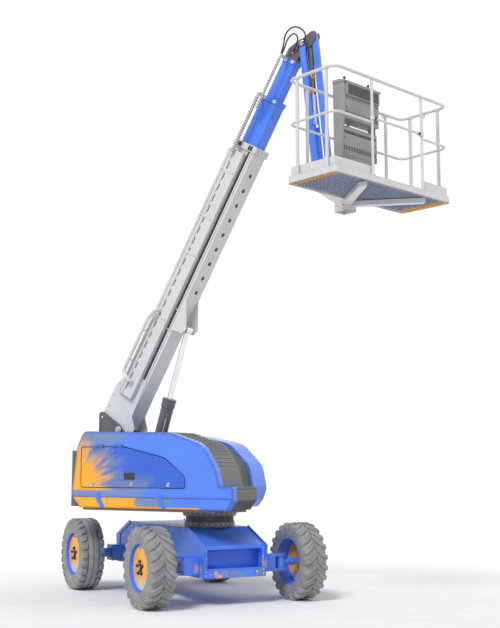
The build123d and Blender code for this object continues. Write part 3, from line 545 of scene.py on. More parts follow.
class BoomLiftColours(bpy.types.PropertyGroup):
    """The paint colours."""

    blue: colour_setting("Blue", "Covers, chassis, sliding sections and jib", 76, 132, 246)
    deep_blue: colour_setting("Deep Blue", "Side doors and shaded panels", 46, 100, 214)
    orange: colour_setting("Orange", "Wheel discs, harness eyes and rust", 250, 175, 8)
    cream: colour_setting("Cream", "Faded foot of the wheel discs", 222, 208, 178)
    dust: colour_setting("Dust", "Grey dust on the paint", 126, 138, 156)
    light_grey: colour_setting("Light Grey", "Base section and platform", 214, 214, 214)
    mid_grey: colour_setting("Mid Grey", "Bands of the hose carriers", 163, 163, 163)
    dark_grey: colour_setting("Dark Grey", "Riser, cylinders and brackets", 98, 98, 100)
    tyre: colour_setting("Tyre", "Tyre rubber", 138, 138, 139)


class BoomLiftTyres(bpy.types.PropertyGroup):
    """The tread."""

    lugs: IntProperty(name="Lugs", description="Lugs on each side of a front tyre",
                      default=22, min=8, max=40)
    blocks: IntProperty(name="Blocks", description="Shoulder blocks on each side of a rear tyre",
                        default=26, min=8, max=50)
    carcass_radius: FloatProperty(name="Carcass Radius", description="Radius between the lugs",
                                  default=0.474, unit="LENGTH")


class BoomLiftFittings(bpy.types.PropertyGroup):
    """Bolts, hoses and straps."""

    bolt: FloatProperty(name="Bolt", description="Radius of a bolt head", default=0.011, unit="LENGTH")
    wheel_nut: FloatProperty(name="Wheel Nut", description="Radius of a wheel nut",
                             default=0.021, unit="LENGTH")
    hose: FloatProperty(name="Hose", description="Radius of a hose", default=0.010, unit="LENGTH")
    strap: FloatProperty(name="Strap", description="Width of the straps over the skirt",
                         default=0.062, unit="LENGTH")
    slat_gap: FloatProperty(name="Grating Pitch", description="Distance between floor slats",
                            default=0.062, unit="LENGTH")


class BoomLiftStage(bpy.types.PropertyGroup):
    """Camera and light."""

    focal: FloatProperty(name="Focal Length", description="Camera focal length in millimetres",
                         default=60.854, min=10)
    yaw: FloatProperty(name="Yaw", description="View direction, turned from ahead",
                       default=math.radians(27.87), unit="ROTATION")
    pitch: FloatProperty(name="Pitch", description="View direction above the horizon",
                         default=math.radians(8.224), unit="ROTATION")
    key: FloatProperty(name="Key Light", description="Strength of the key lamp", default=1.9, min=0)
    sky: FloatProperty(name="Sky Light", description="Strength of the even light", default=0.62, min=0)


# The stage


CAMERA_FROM_SLEW = Vector((-6.224, -12.912, 1.72))
FLOOR_HALF = 60
SHADOW_ENDS = (2.6, 7.0)


class BOOMLIFT_OT_stage(bpy.types.Operator):
    """Sets the camera, the soft light and the pale floor"""

    bl_idname = "boomlift.stage"
    bl_label = "Stage"

    def execute(self, context):
        scene = context.scene
        look = scene.boom_lift_stage
        scene.view_settings.view_transform = "Standard"
        camera_data = bpy.data.cameras.new("camera")
        camera_data.lens = look.focal
        camera_data.sensor_width = 36
        camera_data.clip_end = 200
        flat = math.cos(look.pitch)
        ahead = Vector((math.sin(look.yaw) * flat, math.cos(look.yaw) * flat, math.sin(look.pitch)))
        scene.camera = self.aimed(scene, "camera", camera_data, ahead)
        scene.camera.location = MACHINE.translation + CAMERA_FROM_SLEW
        for name, strength, spread, towards in (
            ("key", look.key, 18, (0.62, 0.50, -0.80)),
            ("fill", look.key * 0.16, 60, (-0.75, 0.35, -0.45)),
        ):
            lamp_data = bpy.data.lights.new(name, "SUN")
            lamp_data.energy = strength
            lamp_data.angle = math.radians(spread)
            self.aimed(scene, name, lamp_data, Vector(towards))
        self.make_sky(scene, look)
        self.make_floor(scene)
        return {"FINISHED"}

    def aimed(self, scene, name, data, ahead):
        """A camera or lamp that looks along a direction."""
        made = bpy.data.objects.new(name, data)
        scene.collection.objects.link(made)
        made.rotation_mode = "QUATERNION"
        made.rotation_quaternion = ahead.to_track_quat("-Z", "Y")
        return made

    def make_sky(self, scene, look):
        """An even world that shows white behind the machine."""
        world = bpy.data.worlds.new("sky")
        scene.world = world
        world.use_nodes = True
        world.node_tree.nodes.clear()
        n = Tree(world.node_tree)
        path = n.make("ShaderNodeLightPath").outputs
        seen = n.math("MAXIMUM", path["Is Camera Ray"], path["Is Glossy Ray"])
        clear = n.math("MAXIMUM", seen, path["Is Transmission Ray"])
        light = n.make("ShaderNodeBackground", {"Strength": look.sky}).outputs[0]
        white = n.make("ShaderNodeBackground", {"Strength": 1.0, "Color": (1, 1, 1, 1)}).outputs[0]
        mix = n.make("ShaderNodeMixShader", {0: clear, 1: light, 2: white}).outputs[0]
        n.make("ShaderNodeOutputWorld", {0: mix})

    def make_floor(self, scene):
        """A pale floor that keeps the machine's shadow and fades to white far off."""
        bm = bmesh.new()
        bmesh.ops.create_grid(bm, x_segments=8, y_segments=8, size=FLOOR_HALF)
        mesh = bpy.data.meshes.new("floor")
        bm.to_mesh(mesh)
        bm.free()
        floor = bpy.data.objects.new("floor", mesh)
        scene.collection.objects.link(floor)
        n = Nodes("floor")
        n.tree.nodes.remove(n.shader)
        grain = n.mix(n.ramp(n.noise(1.5), 0.3, 0.7), (0.93, 0.93, 0.93), (0.97, 0.97, 0.97))
        pale = n.make("ShaderNodeBsdfDiffuse", {"Color": grain}).outputs[0]
        white = n.make("ShaderNodeEmission", {"Strength": 1.0}).outputs[0]
        path = n.make("ShaderNodeLightPath").outputs
        seen = n.math("MAXIMUM", path["Is Camera Ray"], path["Is Glossy Ray"])
        reach = n.reach(n.along((0, 0, 0), (1, 0, 0)), n.along((0, 0, 0), (0, 1, 0)))
        share = n.times(n.ramp(reach, *SHADOW_ENDS), seen)
        mix = n.make("ShaderNodeMixShader", {0: share, 1: pale, 2: white}).outputs[0]
        out = next(node for node in n.tree.nodes if node.type == "OUTPUT_MATERIAL")
        n.join(mix, out.inputs["Surface"])
        mesh.materials.append(n.material)


# Finishes of the solids that stay


WHEELS = (
    # name, body, side (-1 is the near side), tread
    ("front_right", "wheel_front_right", -1, "lugs"),
    ("front_left", "wheel_front_left", 1, "lugs"),
    ("rear_right", "wheel_rear_right", -1, "blocks"),
    ("rear_left", "wheel_rear_left", 1, "blocks"),
)

NODE_FINISHES = {
    "blue paint": ("boom_mid", "boom_fly", "jib_arm", "jib_link"),
    "gear paint": ("chassis_frame", "front_axle_beam", "rear_axle_beam", "steering_knuckle_left",
                   "steering_knuckle_right"),
    "cover paint": ("cover_right",),
    "far cover paint": ("cover_left",),
    "door paint": ("door_right", "door_left"),
    "light paint": ("boom_base", "hose_tray", "carrier_mid", "carrier_fly"),
    "dark paint": ("riser", "counterweight", "turntable_deck", "slew_ring_upper", "slew_ring_lower",
                   "boom_nose", "jib_knuckle", "lift_barrel", "jib_barrel", "engine_block", "tank_block"),
    "cowl skin": ("cowl_louvred",),
    "platform paint": ("platform_rails", "toe_boards", "entry_rail", "platform_mount", "platform_floor",
                       "platform_support"),
    "console skin": ("control_console",),
    "chrome": ("lift_rod", "jib_rod"),
}


def rim_centre(name, node="rim_"):
    """The middle of a wheel."""
    low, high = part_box(node + name)
    return (low + high) / 2


class BOOMLIFT_OT_finishes(bpy.types.Operator):
    """Makes the finishes and gives them to the solids"""

    bl_idname = "boomlift.finishes"
    bl_label = "Finishes"

    def execute(self, context):
        look = context.scene.boom_lift_colours
        cover_dark = shaded(look.blue, 0.8)
        deep_dark = shaded(look.deep_blue, 0.8)
        paint("blue paint", look.blue, look.deep_blue)
        paint("gear paint", look.blue, look.deep_blue, smear=low_smear)
        # Deep blue for the sheets in the chassis end recesses: painted shade.
        paint("deep blue recess shade", look.deep_blue, deep_dark)
        paint("cover paint", look.blue, cover_dark, 0.26, 0.5, smear=cover_smear(False), soften=0.045)
        paint("far cover paint", look.blue, cover_dark, 0.26, 0.5, soften=0.045)
        paint("door paint", look.deep_blue, deep_dark, 0.34, smear=cover_smear(True))
        paint("light paint", look.light_grey, shaded(look.light_grey, 0.8), coat=0.1)
        paint("mid paint", look.mid_grey, shaded(look.mid_grey, 0.75), coat=0.1)
        paint("dark paint", look.dark_grey, shaded(look.dark_grey, 0.6), coat=0.12)
        paint("black paint", from_screen(52, 52, 54), from_screen(34, 34, 36), coat=0.1)
        paint("white paint", grey(236), grey(205), coat=0.1)
        paint("orange paint", look.orange, shaded(look.orange, 0.8))
        paint("cowl edge", from_screen(132, 132, 134), from_screen(100, 100, 102), 0.5, 0.0)
        paint("cowl skin", from_screen(92, 92, 93), from_screen(66, 66, 67), 0.55, 0.0)
        paint("platform paint", look.light_grey, shaded(look.light_grey, 0.85), coat=0.1, line=0.005)
        paint("floor paint", from_screen(150, 160, 185), from_screen(120, 130, 160), coat=0.1)
        paint("console skin", from_screen(152, 152, 153), from_screen(118, 118, 120), 0.5, 0.0)
        rubber("tyre rubber", look.tyre, shaded(look.tyre, 1.5))
        bare_metal("chrome", (0.86, 0.87, 0.88), (0.6, 0.61, 0.63), 0.16)
        bare_metal("zinc", (0.5, 0.5, 0.5), (0.32, 0.32, 0.33), 0.34)
        plain_rubber("hose rubber", from_screen(38, 38, 40))
        for finish_name, nodes in NODE_FINISHES.items():
            for node in nodes:
                self.give(node, finish_name)
        for name, body, side, tread in WHEELS:
            disc_paint("disc paint " + name, rim_centre(name))
            self.give("rim_" + name, "disc paint " + name)
        return {"FINISHED"}

    def give(self, node, finish_name):
        """Puts a finish in the slots of a solid."""
        slots = NODES[node].material_slots
        if len(slots) == 0:
            raise RuntimeError("no material slot on " + node)
        for slot in slots:
            slot.material = FINISHES[finish_name]


# Wheels


# Stations of a lug or block from the sidewall to the middle of the tread, each as distance from the middle,
# base radius, top distance, top radius, turn, base half width and top half width
LUG_STATIONS = {
    "lugs": (
        (0.162, 0.405, 0.1675, 0.409, 0.000, 0.032, 0.026),
        (0.161, 0.440, 0.1695, 0.447, 0.000, 0.034, 0.027),
        (0.150, 0.465, 0.1640, 0.484, 0.006, 0.034, 0.027),
        (0.128, 0.470, 0.1380, 0.4985, 0.022, 0.033, 0.026),
        (0.095, 0.472, 0.0980, 0.500, 0.062, 0.032, 0.024),
        (0.060, 0.472, 0.0600, 0.500, 0.120, 0.029, 0.021),
        (0.028, 0.472, 0.0280, 0.499, 0.185, 0.026, 0.018),
        (0.006, 0.472, 0.0090, 0.497, 0.235, 0.021, 0.013),
    ),
    "blocks": (
        (0.161, 0.425, 0.1670, 0.429, 0.000, 0.036, 0.030),
        (0.158, 0.452, 0.1690, 0.458, 0.000, 0.042, 0.037),
        (0.146, 0.468, 0.1600, 0.485, 0.004, 0.042, 0.038),
        (0.120, 0.472, 0.1280, 0.4975, 0.012, 0.041, 0.037),
        (0.085, 0.474, 0.0860, 0.497, 0.034, 0.038, 0.033),
    ),
}
# Half of the carcass, from the bead to the shoulder, as distance from the middle and radius
SIDEWALL = [
    (0.150, 0.3005), (0.1515, 0.322), (0.1575, 0.330), (0.1625, 0.345), (0.1612, 0.349), (0.1640, 0.353),
    (0.1668, 0.378), (0.1655, 0.392), (0.1680, 0.397), (0.1662, 0.402), (0.1630, 0.425), (0.1590, 0.448),
    (0.1480, 0.463),
]
TREAD_JITTER = 0.006


def add_lug(bm, place, side, start, stations):
    """One lug, as rings of four corners along its stations."""
    rings = []
    for x, base, x_top, top, turn, half, half_top in stations:
        ring = []
        for along, radius, across, way in (
            (x, base, half, -1), (x_top, top, half_top, -1), (x_top, top, half_top, 1), (x, base, half, 1),
        ):
            angle = start - turn + way * across / radius
            spot = Vector((side * along, radius * math.cos(angle), radius * math.sin(angle)))
            ring.append(bm.verts.new(place @ spot))
        rings.append(ring)
    join_rings(bm, rings)
    tops = [bm.edges.get((ring[i], after[i])) for ring, after in zip(rings, rings[1:]) for i in (1, 2)]
    bmesh.ops.bevel(bm, geom=tops, offset=0.004, segments=1, profile=0.5, affect="EDGES", clamp_overlap=True)


class BOOMLIFT_OT_tyres(bpy.types.Operator):
    """Builds the four tyres: chevron lugs in front and shoulder blocks behind"""

    bl_idname = "boomlift.tyres"
    bl_label = "Tyres"

    def execute(self, context):
        sizes = context.scene.boom_lift_tyres
        chance = random.Random(7)
        r = sizes.carcass_radius
        counts = {"lugs": sizes.lugs, "blocks": sizes.blocks}
        for name, body, side, tread in WHEELS:
            place = Matrix.Translation(rim_centre(name, "tyre_"))
            bm = bmesh.new()
            half = SIDEWALL + [(0.1250, r - 0.002), (0.0850, r)]
            if tread == "blocks":
                half += [(0.074, r), (0.070, r + 0.017), (0.066, r + 0.020), (0.010, r + 0.021),
                         (0.006, r + 0.012)]
            add_lathe(bm, place, [(-x, q) for x, q in half] + half[::-1], 96, closed=True)
            count = counts[tread]
            for lug_side in SIDES:
                for i in range(count):
                    turn = i + (0.5 if lug_side > 0 else 0)
                    start = 2 * math.pi * turn / count + chance.uniform(-TREAD_JITTER, TREAD_JITTER)
                    add_lug(bm, place, lug_side, start, LUG_STATIONS[tread])
            made = piece("tread_" + name, bm, body, "tyre rubber", 38)
            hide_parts("tyre_" + name)
        return {"FINISHED"}


class BOOMLIFT_OT_wheel_fittings(bpy.types.Operator):
    """Adds the dished disc, the wheel nuts, the hub ring with its gap, the hub cap and the valve"""

    bl_idname = "boomlift.wheel_fittings"
    bl_label = "Wheel Fittings"

    def execute(self, context):
        nut = context.scene.boom_lift_fittings.wheel_nut
        face = WHEEL_FACE
        for name, body, side, tread in WHEELS:
            place = Matrix.Translation(rim_centre(name)) @ Matrix.Diagonal((side, 1, 1, 1))
            dish = bmesh.new()
            add_lathe(dish, place, [(0.058, 0.284), (0.098, 0.2885), (0.110, 0.272), (0.115, 0.256),
                                    (0.116, 0.135), (face, 0.122), (face, 0.020)], 64)
            piece("dish_" + name, dish, body, "disc paint " + name)
            bm = bmesh.new()
            for across, high in circle(5, 0.078, 0.3):
                stud = at(place, (face, across, high))
                add_lathe(bm, stud, [(-0.002, nut * 1.2), (0.004, nut * 1.2), (0.006, nut)], 20)
                add_lathe(bm, stud, [(0.004, nut * 0.95), (0.022, nut * 0.95), (0.026, nut * 0.7),
                                     (0.026, nut * 0.45), (0.032, nut * 0.42), (0.033, nut * 0.3)], 6)
            hub = at(place, (face, 0, 0))
            add_lathe(bm, hub, [(-0.002, 0.030), (0.020, 0.032), (0.024, 0.037), (0.024, 0.046),
                                (0.018, 0.051), (-0.002, 0.052)], 30, closed=True, sweep=math.radians(285))
            piece("nuts_" + name, bm, body, "black paint")
            bm = bmesh.new()
            add_lathe(bm, hub, [(-0.004, 0.027), (0.012, 0.027), (0.018, 0.022), (0.020, 0.010)], 28)
            valve = at(place, (0.112, 0, 0.232), -20, "Y")
            add_lathe(bm, valve, [(-0.012, 0.006), (0.020, 0.005), (0.022, 0.0065), (0.034, 0.0065),
                                  (0.036, 0.004)], 12)
            piece("hub_cap_" + name, bm, body, "zinc")
        return {"FINISHED"}


# Slew ring, chassis, covers and riser


class BOOMLIFT_OT_slew_teeth(bpy.types.Operator):
    """Cuts the ring gear's look round the drum and bolts both flanges"""

    bl_idname = "boomlift.slew_teeth"
    bl_label = "Slew Ring Teeth"

    def execute(self, context):
        bolt = context.scene.boom_lift_fittings.bolt
        teeth, flange_bolts = 96, 28
        bottom, top = 1.0215, 1.0885
        tip, root = 0.3175, 0.3030
        tooth = [(root, -0.0085), (tip, -0.0042), (tip, 0.0042), (root, 0.0085)]
        bm = bmesh.new()
        for i in range(teeth):
            turn = at(MACHINE, (0, 0, 0), 360 * i / teeth)
            join_rings(bm, [[bm.verts.new(turn @ Vector((x, y, z))) for x, y in tooth] for z in (bottom, top)])
        piece("slew_teeth", bm, "chassis", "dark paint", 20)
        for name, body, radius, height in (
            ("slew_bolts_lower", "chassis", 0.3298, 0.985),
            ("slew_bolts_upper", "turntable", 0.3518, 1.126),
        ):
            bm = bmesh.new()
            for x, y in circle(flange_bolts, radius, math.pi / flange_bolts):
                add_bolt(bm, MACHINE, (x, y, height), (x, y, 0), bolt * 0.8)
            piece(name, bm, body, "zinc")
        return {"FINISHED"}


class BOOMLIFT_OT_chassis_trim(bpy.types.Operator):
    """Adds the lips, end panels painted deep blue as the shade in the end recesses, side plates, bolts and
    lashing eyes of the chassis
    """

    bl_idname = "boomlift.chassis_trim"
    bl_label = "Chassis Trim"

    def execute(self, context):
        bolt = context.scene.boom_lift_fittings.bolt
        low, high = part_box("chassis_frame")
        lips, panels, fittings = bmesh.new(), bmesh.new(), bmesh.new()
        for end, face in ((-1, low.y - MACHINE.translation.y), (1, high.y - MACHINE.translation.y)):
            front, behind = face + end * 0.006, face - end * 0.030
            add_block(lips, MACHINE, (-0.385, front, 0.452), (0.385, behind, 0.466), 0.003)
            add_block(lips, MACHINE, (-0.385, front, 0.700), (0.385, behind, 0.712), 0.003)
            # A deep-blue sheet at the back of each end recess: painted shade in the recess.
            add_block(panels, MACHINE, (-0.384, face - end * 0.112, 0.467), (0.384, face - end * 0.106, 0.699))
            nose = at(MACHINE, (0, 0, 0), end * 90)
            reach = abs(face)
            plate = [(reach - 0.085, 0.350), (reach + 0.005, 0.350), (reach + 0.060, 0.745),
                     (reach - 0.480, 0.972), (reach - 0.495, 0.920), (reach - 0.090, 0.750)]
            for side in SIDES:
                add_block(lips, MACHINE, (side * 0.385, front, 0.352), (side * 0.431, behind, 0.735), 0.004)
                add_plate(lips, nose, plate, side * (CHASSIS_SIDE + 0.0002), side * 0.4425, 0.003)
                for z in (0.385, 0.43, 0.60, 0.70):
                    add_bolt(fittings, MACHINE, (side * 0.408, front, z), (0, end, 0), bolt)
                add_eye(fittings, at(MACHINE, (side * 0.30, front, 0.400)), 0.030, 0.008)
        for side in SIDES:
            for y in (-0.15, 0.10, 0.40, 1.10, 1.40, 1.65):
                for z in (0.385, 0.905):
                    add_bolt(fittings, MACHINE, (side * CHASSIS_SIDE, y, z), (side, 0, 0), bolt)
            for y0, y1, z in ((-0.700, 2.200, 0.352), (-0.200, 1.700, 0.930)):
                add_block(lips, MACHINE, (side * 0.428, y0, z), (side * 0.437, y1, z + 0.014), 0.003)
        piece("chassis_lips", lips, "chassis", "gear paint")
        piece("chassis_end_shade_panels", panels, "chassis", "deep blue recess shade")
        piece("chassis_fittings", fittings, "chassis", "zinc")
        self.axle_parts(bolt)
        return {"FINISHED"}

    def axle_parts(self, bolt):
        """The kingpin caps and the steering cylinder's covers."""
        kingpin = joint_point("steer_right") - MACHINE.translation
        caps = bmesh.new()
        for side in SIDES:
            for z, out in ((0.610, 1), (0.390, -1)):
                up = at(MACHINE, (side * abs(kingpin.x), kingpin.y, z), -90 * out, "Y")
                add_lathe(caps, up, [(-0.002, 0.048), (0.007, 0.048), (0.011, 0.040), (0.012, 0.020)], 28)
                for across, high in circle(4, 0.036, math.pi / 4):
                    add_bolt(caps, up, (0.008, across, high), OUTWARDS, bolt * 0.6)
        for x0, x1 in ((0.432, 0.700), (-0.700, -0.432)):
            add_round(caps, at(MACHINE, (0, kingpin.y + 0.120, 0.500)), x0, x1, 0.020, 0.003, 20)
        piece("axle_fittings", caps, "chassis", "dark paint")


class BOOMLIFT_OT_cover_trim(bpy.types.Operator):
    """Adds the skirt beads, straps and bolts of the covers, and the latches and handles of the doors"""

    bl_idname = "boomlift.cover_trim"
    bl_label = "Cover Trim"

    def execute(self, context):
        fittings = context.scene.boom_lift_fittings
        half = fittings.strap / 2
        for name, side, front in (("right", -1, 0.865), ("left", 1, 0.330)):
            seat, outer = side * (COVER_SIDE - SEAT), side * 0.8075
            bead, straps, metal = bmesh.new(), bmesh.new(), bmesh.new()
            add_block(bead, TURNTABLE, (-1.690, seat, 1.329), (front, outer, 1.341), 0.0035)
            add_block(bead, TURNTABLE, (-1.560, seat, 1.190), (front - 0.110, outer, 1.202), 0.0035)
            for x in (-1.222, -0.208):
                strap = [(x - half - 0.050, 1.330), (x - half - 0.030, 1.392), (x + half - 0.050, 1.392),
                         (x + half + 0.050, 1.192), (x - half + 0.050, 1.192)]
                ridge = [(x - 0.046, 1.362), (x - 0.028, 1.362), (x + 0.054, 1.206), (x + 0.036, 1.206)]
                add_plate(straps, TURNTABLE, strap, seat, side * 0.811, 0.003)
                add_plate(straps, TURNTABLE, ridge, side * 0.809, side * 0.816)
            for x in (-1.60, -1.10, -0.20, 0.20):
                add_bolt(metal, TURNTABLE, (x, side * COVER_SIDE, 1.262), (0, side, 0), fittings.bolt * 0.75)
            piece("skirt_bead_" + name, bead, "turntable", "cover paint")
            piece("skirt_straps_" + name, straps, "turntable", "blue paint")
            piece("cover_fittings_" + name, metal, "turntable", "zinc")
        for name, body, side in (("right", "side_door_right", -1), ("left", "side_door_left", 1)):
            self.door_parts(name, body, side)
        return {"FINISHED"}

    def door_parts(self, name, body, side):
        """The three latches of a door, and its handle in a recess plate."""
        handle, latches = bmesh.new(), bmesh.new()
        skin = side * COVER_SIDE
        for x in (-1.350, -0.700, -0.100):
            latch = sideways(TURNTABLE, (x, skin, 1.500), side)
            add_lathe(latches, latch, [(-0.002, 0.030), (0.004, 0.030), (0.006, 0.026), (0.003, 0.022),
                                       (0.003, 0.006)], 28)
            add_block(latches, latch, (0.002, -0.022, -0.006), (0.010, 0.022, 0.006), 0.003)
        piece("door_latches_" + name, latches, body, "zinc")
        add_block(handle, TURNTABLE, (-0.820, side * (COVER_SIDE - SEAT), 1.560), (-0.640, side * 0.804, 1.650),
                  0.004)
        grip, bow = side * 0.812, side * 0.818
        route = [(-0.790, skin, 1.605), (-0.790, grip, 1.605), (-0.730, bow, 1.605), (-0.670, grip, 1.605),
                 (-0.670, skin, 1.605)]
        add_tube(handle, TURNTABLE, bent_line(route), 0.006, 10)
        piece("door_handle_" + name, handle, body, "black paint")


class BOOMLIFT_OT_cowl_slats(bpy.types.Operator):
    """Adds the louvres, ticks and edge beads of the dark cowl and of the near cover's dark band"""

    bl_idname = "boomlift.cowl_slats"
    bl_label = "Cowl Slats"

    def execute(self, context):
        slats, beads = bmesh.new(), bmesh.new()
        wall, tilt = 0.249, -7
        for i in range(10):
            blade = at(at(TURNTABLE, (-0.470 + i * 0.072, wall, 1.500), tilt, "Y"), (0, 0, 0), 28)
            add_block(slats, blade, (-0.020, -0.006, -0.210), (0.020, 0.004, 0.210), 0.003)
        for i in range(13):
            tick = at(TURNTABLE, (-0.640 + i * 0.060, wall, 1.860), tilt, "Y")
            add_block(slats, tick, (-0.009, -0.007, -0.045), (0.009, 0.004, 0.045), 0.003)
        for z0, z1 in ((1.745, 1.760), (1.262, 1.277)):
            add_block(beads, TURNTABLE, (-0.560, 0.236, z0), (0.270, 0.252, z1), 0.004)
        add_block(beads, TURNTABLE, (-0.560, 0.238, 1.262), (-0.546, 0.252, 1.760), 0.004)
        for i in range(7):
            x = -1.450 + i * 0.085
            add_block(slats, TURNTABLE, (x, 0.241, 1.30), (x + 0.050, 0.252, 1.62), 0.003)
        self.louvres(slats)
        piece("cowl_slats", slats, "turntable", "cowl edge")
        piece("cowl_frame", beads, "turntable", "cowl edge")
        return {"FINISHED"}

    def louvres(self, slats):
        """Blades laid on the near cover's band, found by looking in from an arc ahead of it."""
        solid = NODES["cover_right"]
        into_solid = solid.matrix_world.inverted()
        arc_x, arc_z, arc_radius, arc_start, arc_step = -0.10, 1.42, 1.4, 112, 2.6
        for i in range(44):
            angle = math.radians(arc_start - i * arc_step)
            outside = TURNTABLE @ Vector((arc_x + arc_radius * math.cos(angle), -0.480,
                                          arc_z + arc_radius * math.sin(angle)))
            found, point, normal, face = solid.closest_point_on_mesh(into_solid @ outside)
            if not found:
                raise RuntimeError("no cover under a louvre")
            blade = at(placed(solid.matrix_world @ point, normal.cross(BOOM_LEFT)), (0, 0, 0), -24, "Y")
            add_block(slats, blade, (-0.010, -0.195, -0.006), (0.010, 0.195, 0.006), 0.003)


class BOOMLIFT_OT_riser_trim(bpy.types.Operator):
    """Adds the pin caps, ribs and bolts of the riser and the counterweight's bolts and eyes"""

    bl_idname = "boomlift.riser_trim"
    bl_label = "Riser Trim"

    def execute(self, context):
        bolt = context.scene.boom_lift_fittings.bolt
        caps, ribs = bmesh.new(), bmesh.new()
        pivot = TURNTABLE.inverted() @ joint_point("boom_lift")
        base = TURNTABLE.inverted() @ joint_point("lift_cylinder_pivot")
        for side in SIDES:
            seat, proud = side * (RISER_SIDE - SEAT), side * 0.194
            add_cap(caps, TURNTABLE, (pivot.x, side * 0.199, pivot.z), side, 0.052, bolt * 0.8)
            add_cap(caps, TURNTABLE, (base.x, proud, base.z), side, 0.042, bolt * 0.7)
            for x0, z0, x1, z1 in (
                (-1.775, 1.215, -1.745, 2.400), (-1.740, 1.215, -0.930, 1.240), (-1.740, 1.960, -1.560, 1.985),
            ):
                add_block(ribs, TURNTABLE, (x0, seat, z0), (x1, proud, z1), 0.004)
            for x in (-1.66, -1.42, -1.18):
                add_bolt(caps, TURNTABLE, (x, proud, 1.2275), (0, side, 0), bolt * 0.8)
            for y in (0.22, 0.52):
                for z in (1.32, 1.82):
                    add_bolt(caps, TURNTABLE, (-1.930, side * y, z), (-1, 0, 0), bolt * 1.3)
            add_block(ribs, TURNTABLE, (-1.936, side * 0.10, 1.540), (-1.926, side * 0.56, 1.556), 0.004)
            add_eye(caps, sideways(TURNTABLE, (-1.857, side * 0.30, 1.972)), 0.030, 0.009)
        piece("riser_caps", caps, "turntable", "zinc")
        piece("riser_ribs", ribs, "turntable", "dark paint")
        return {"FINISHED"}


# Boom, cylinders and jib


GUARD_LINE = (
    (0.700, -0.206, 0.120), (0.700, -0.250, 0.120), (0.704, -0.290, 0.132), (0.740, -0.290, 0.205),
    (0.776, -0.290, 0.277), (0.860, -0.290, 0.277), (1.540, -0.290, 0.272), (1.620, -0.290, 0.268),
    (1.700, -0.290, 0.236), (1.762, -0.290, 0.205), (1.775, -0.250, 0.198), (1.775, -0.206, 0.198),
)
HOSE_LINES = {
    "head_hose_outer": ((5.600, -0.243, 0.126), (5.700, -0.243, 0.140), (5.860, -0.235, 0.215),
                        (6.010, -0.200, 0.160), (6.000, -0.150, -0.010), (5.880, -0.112, -0.050),
                        (5.780, -0.095, 0.020), (5.745, -0.071, 0.060)),
    "head_hose_inner": ((5.600, -0.243, 0.114), (5.680, -0.243, 0.110), (5.800, -0.225, 0.150),
                        (5.920, -0.190, 0.125), (5.900, -0.150, 0.060), (5.810, -0.125, 0.045),
                        (5.720, -0.110, 0.055), (5.680, -0.071, 0.080)),
}


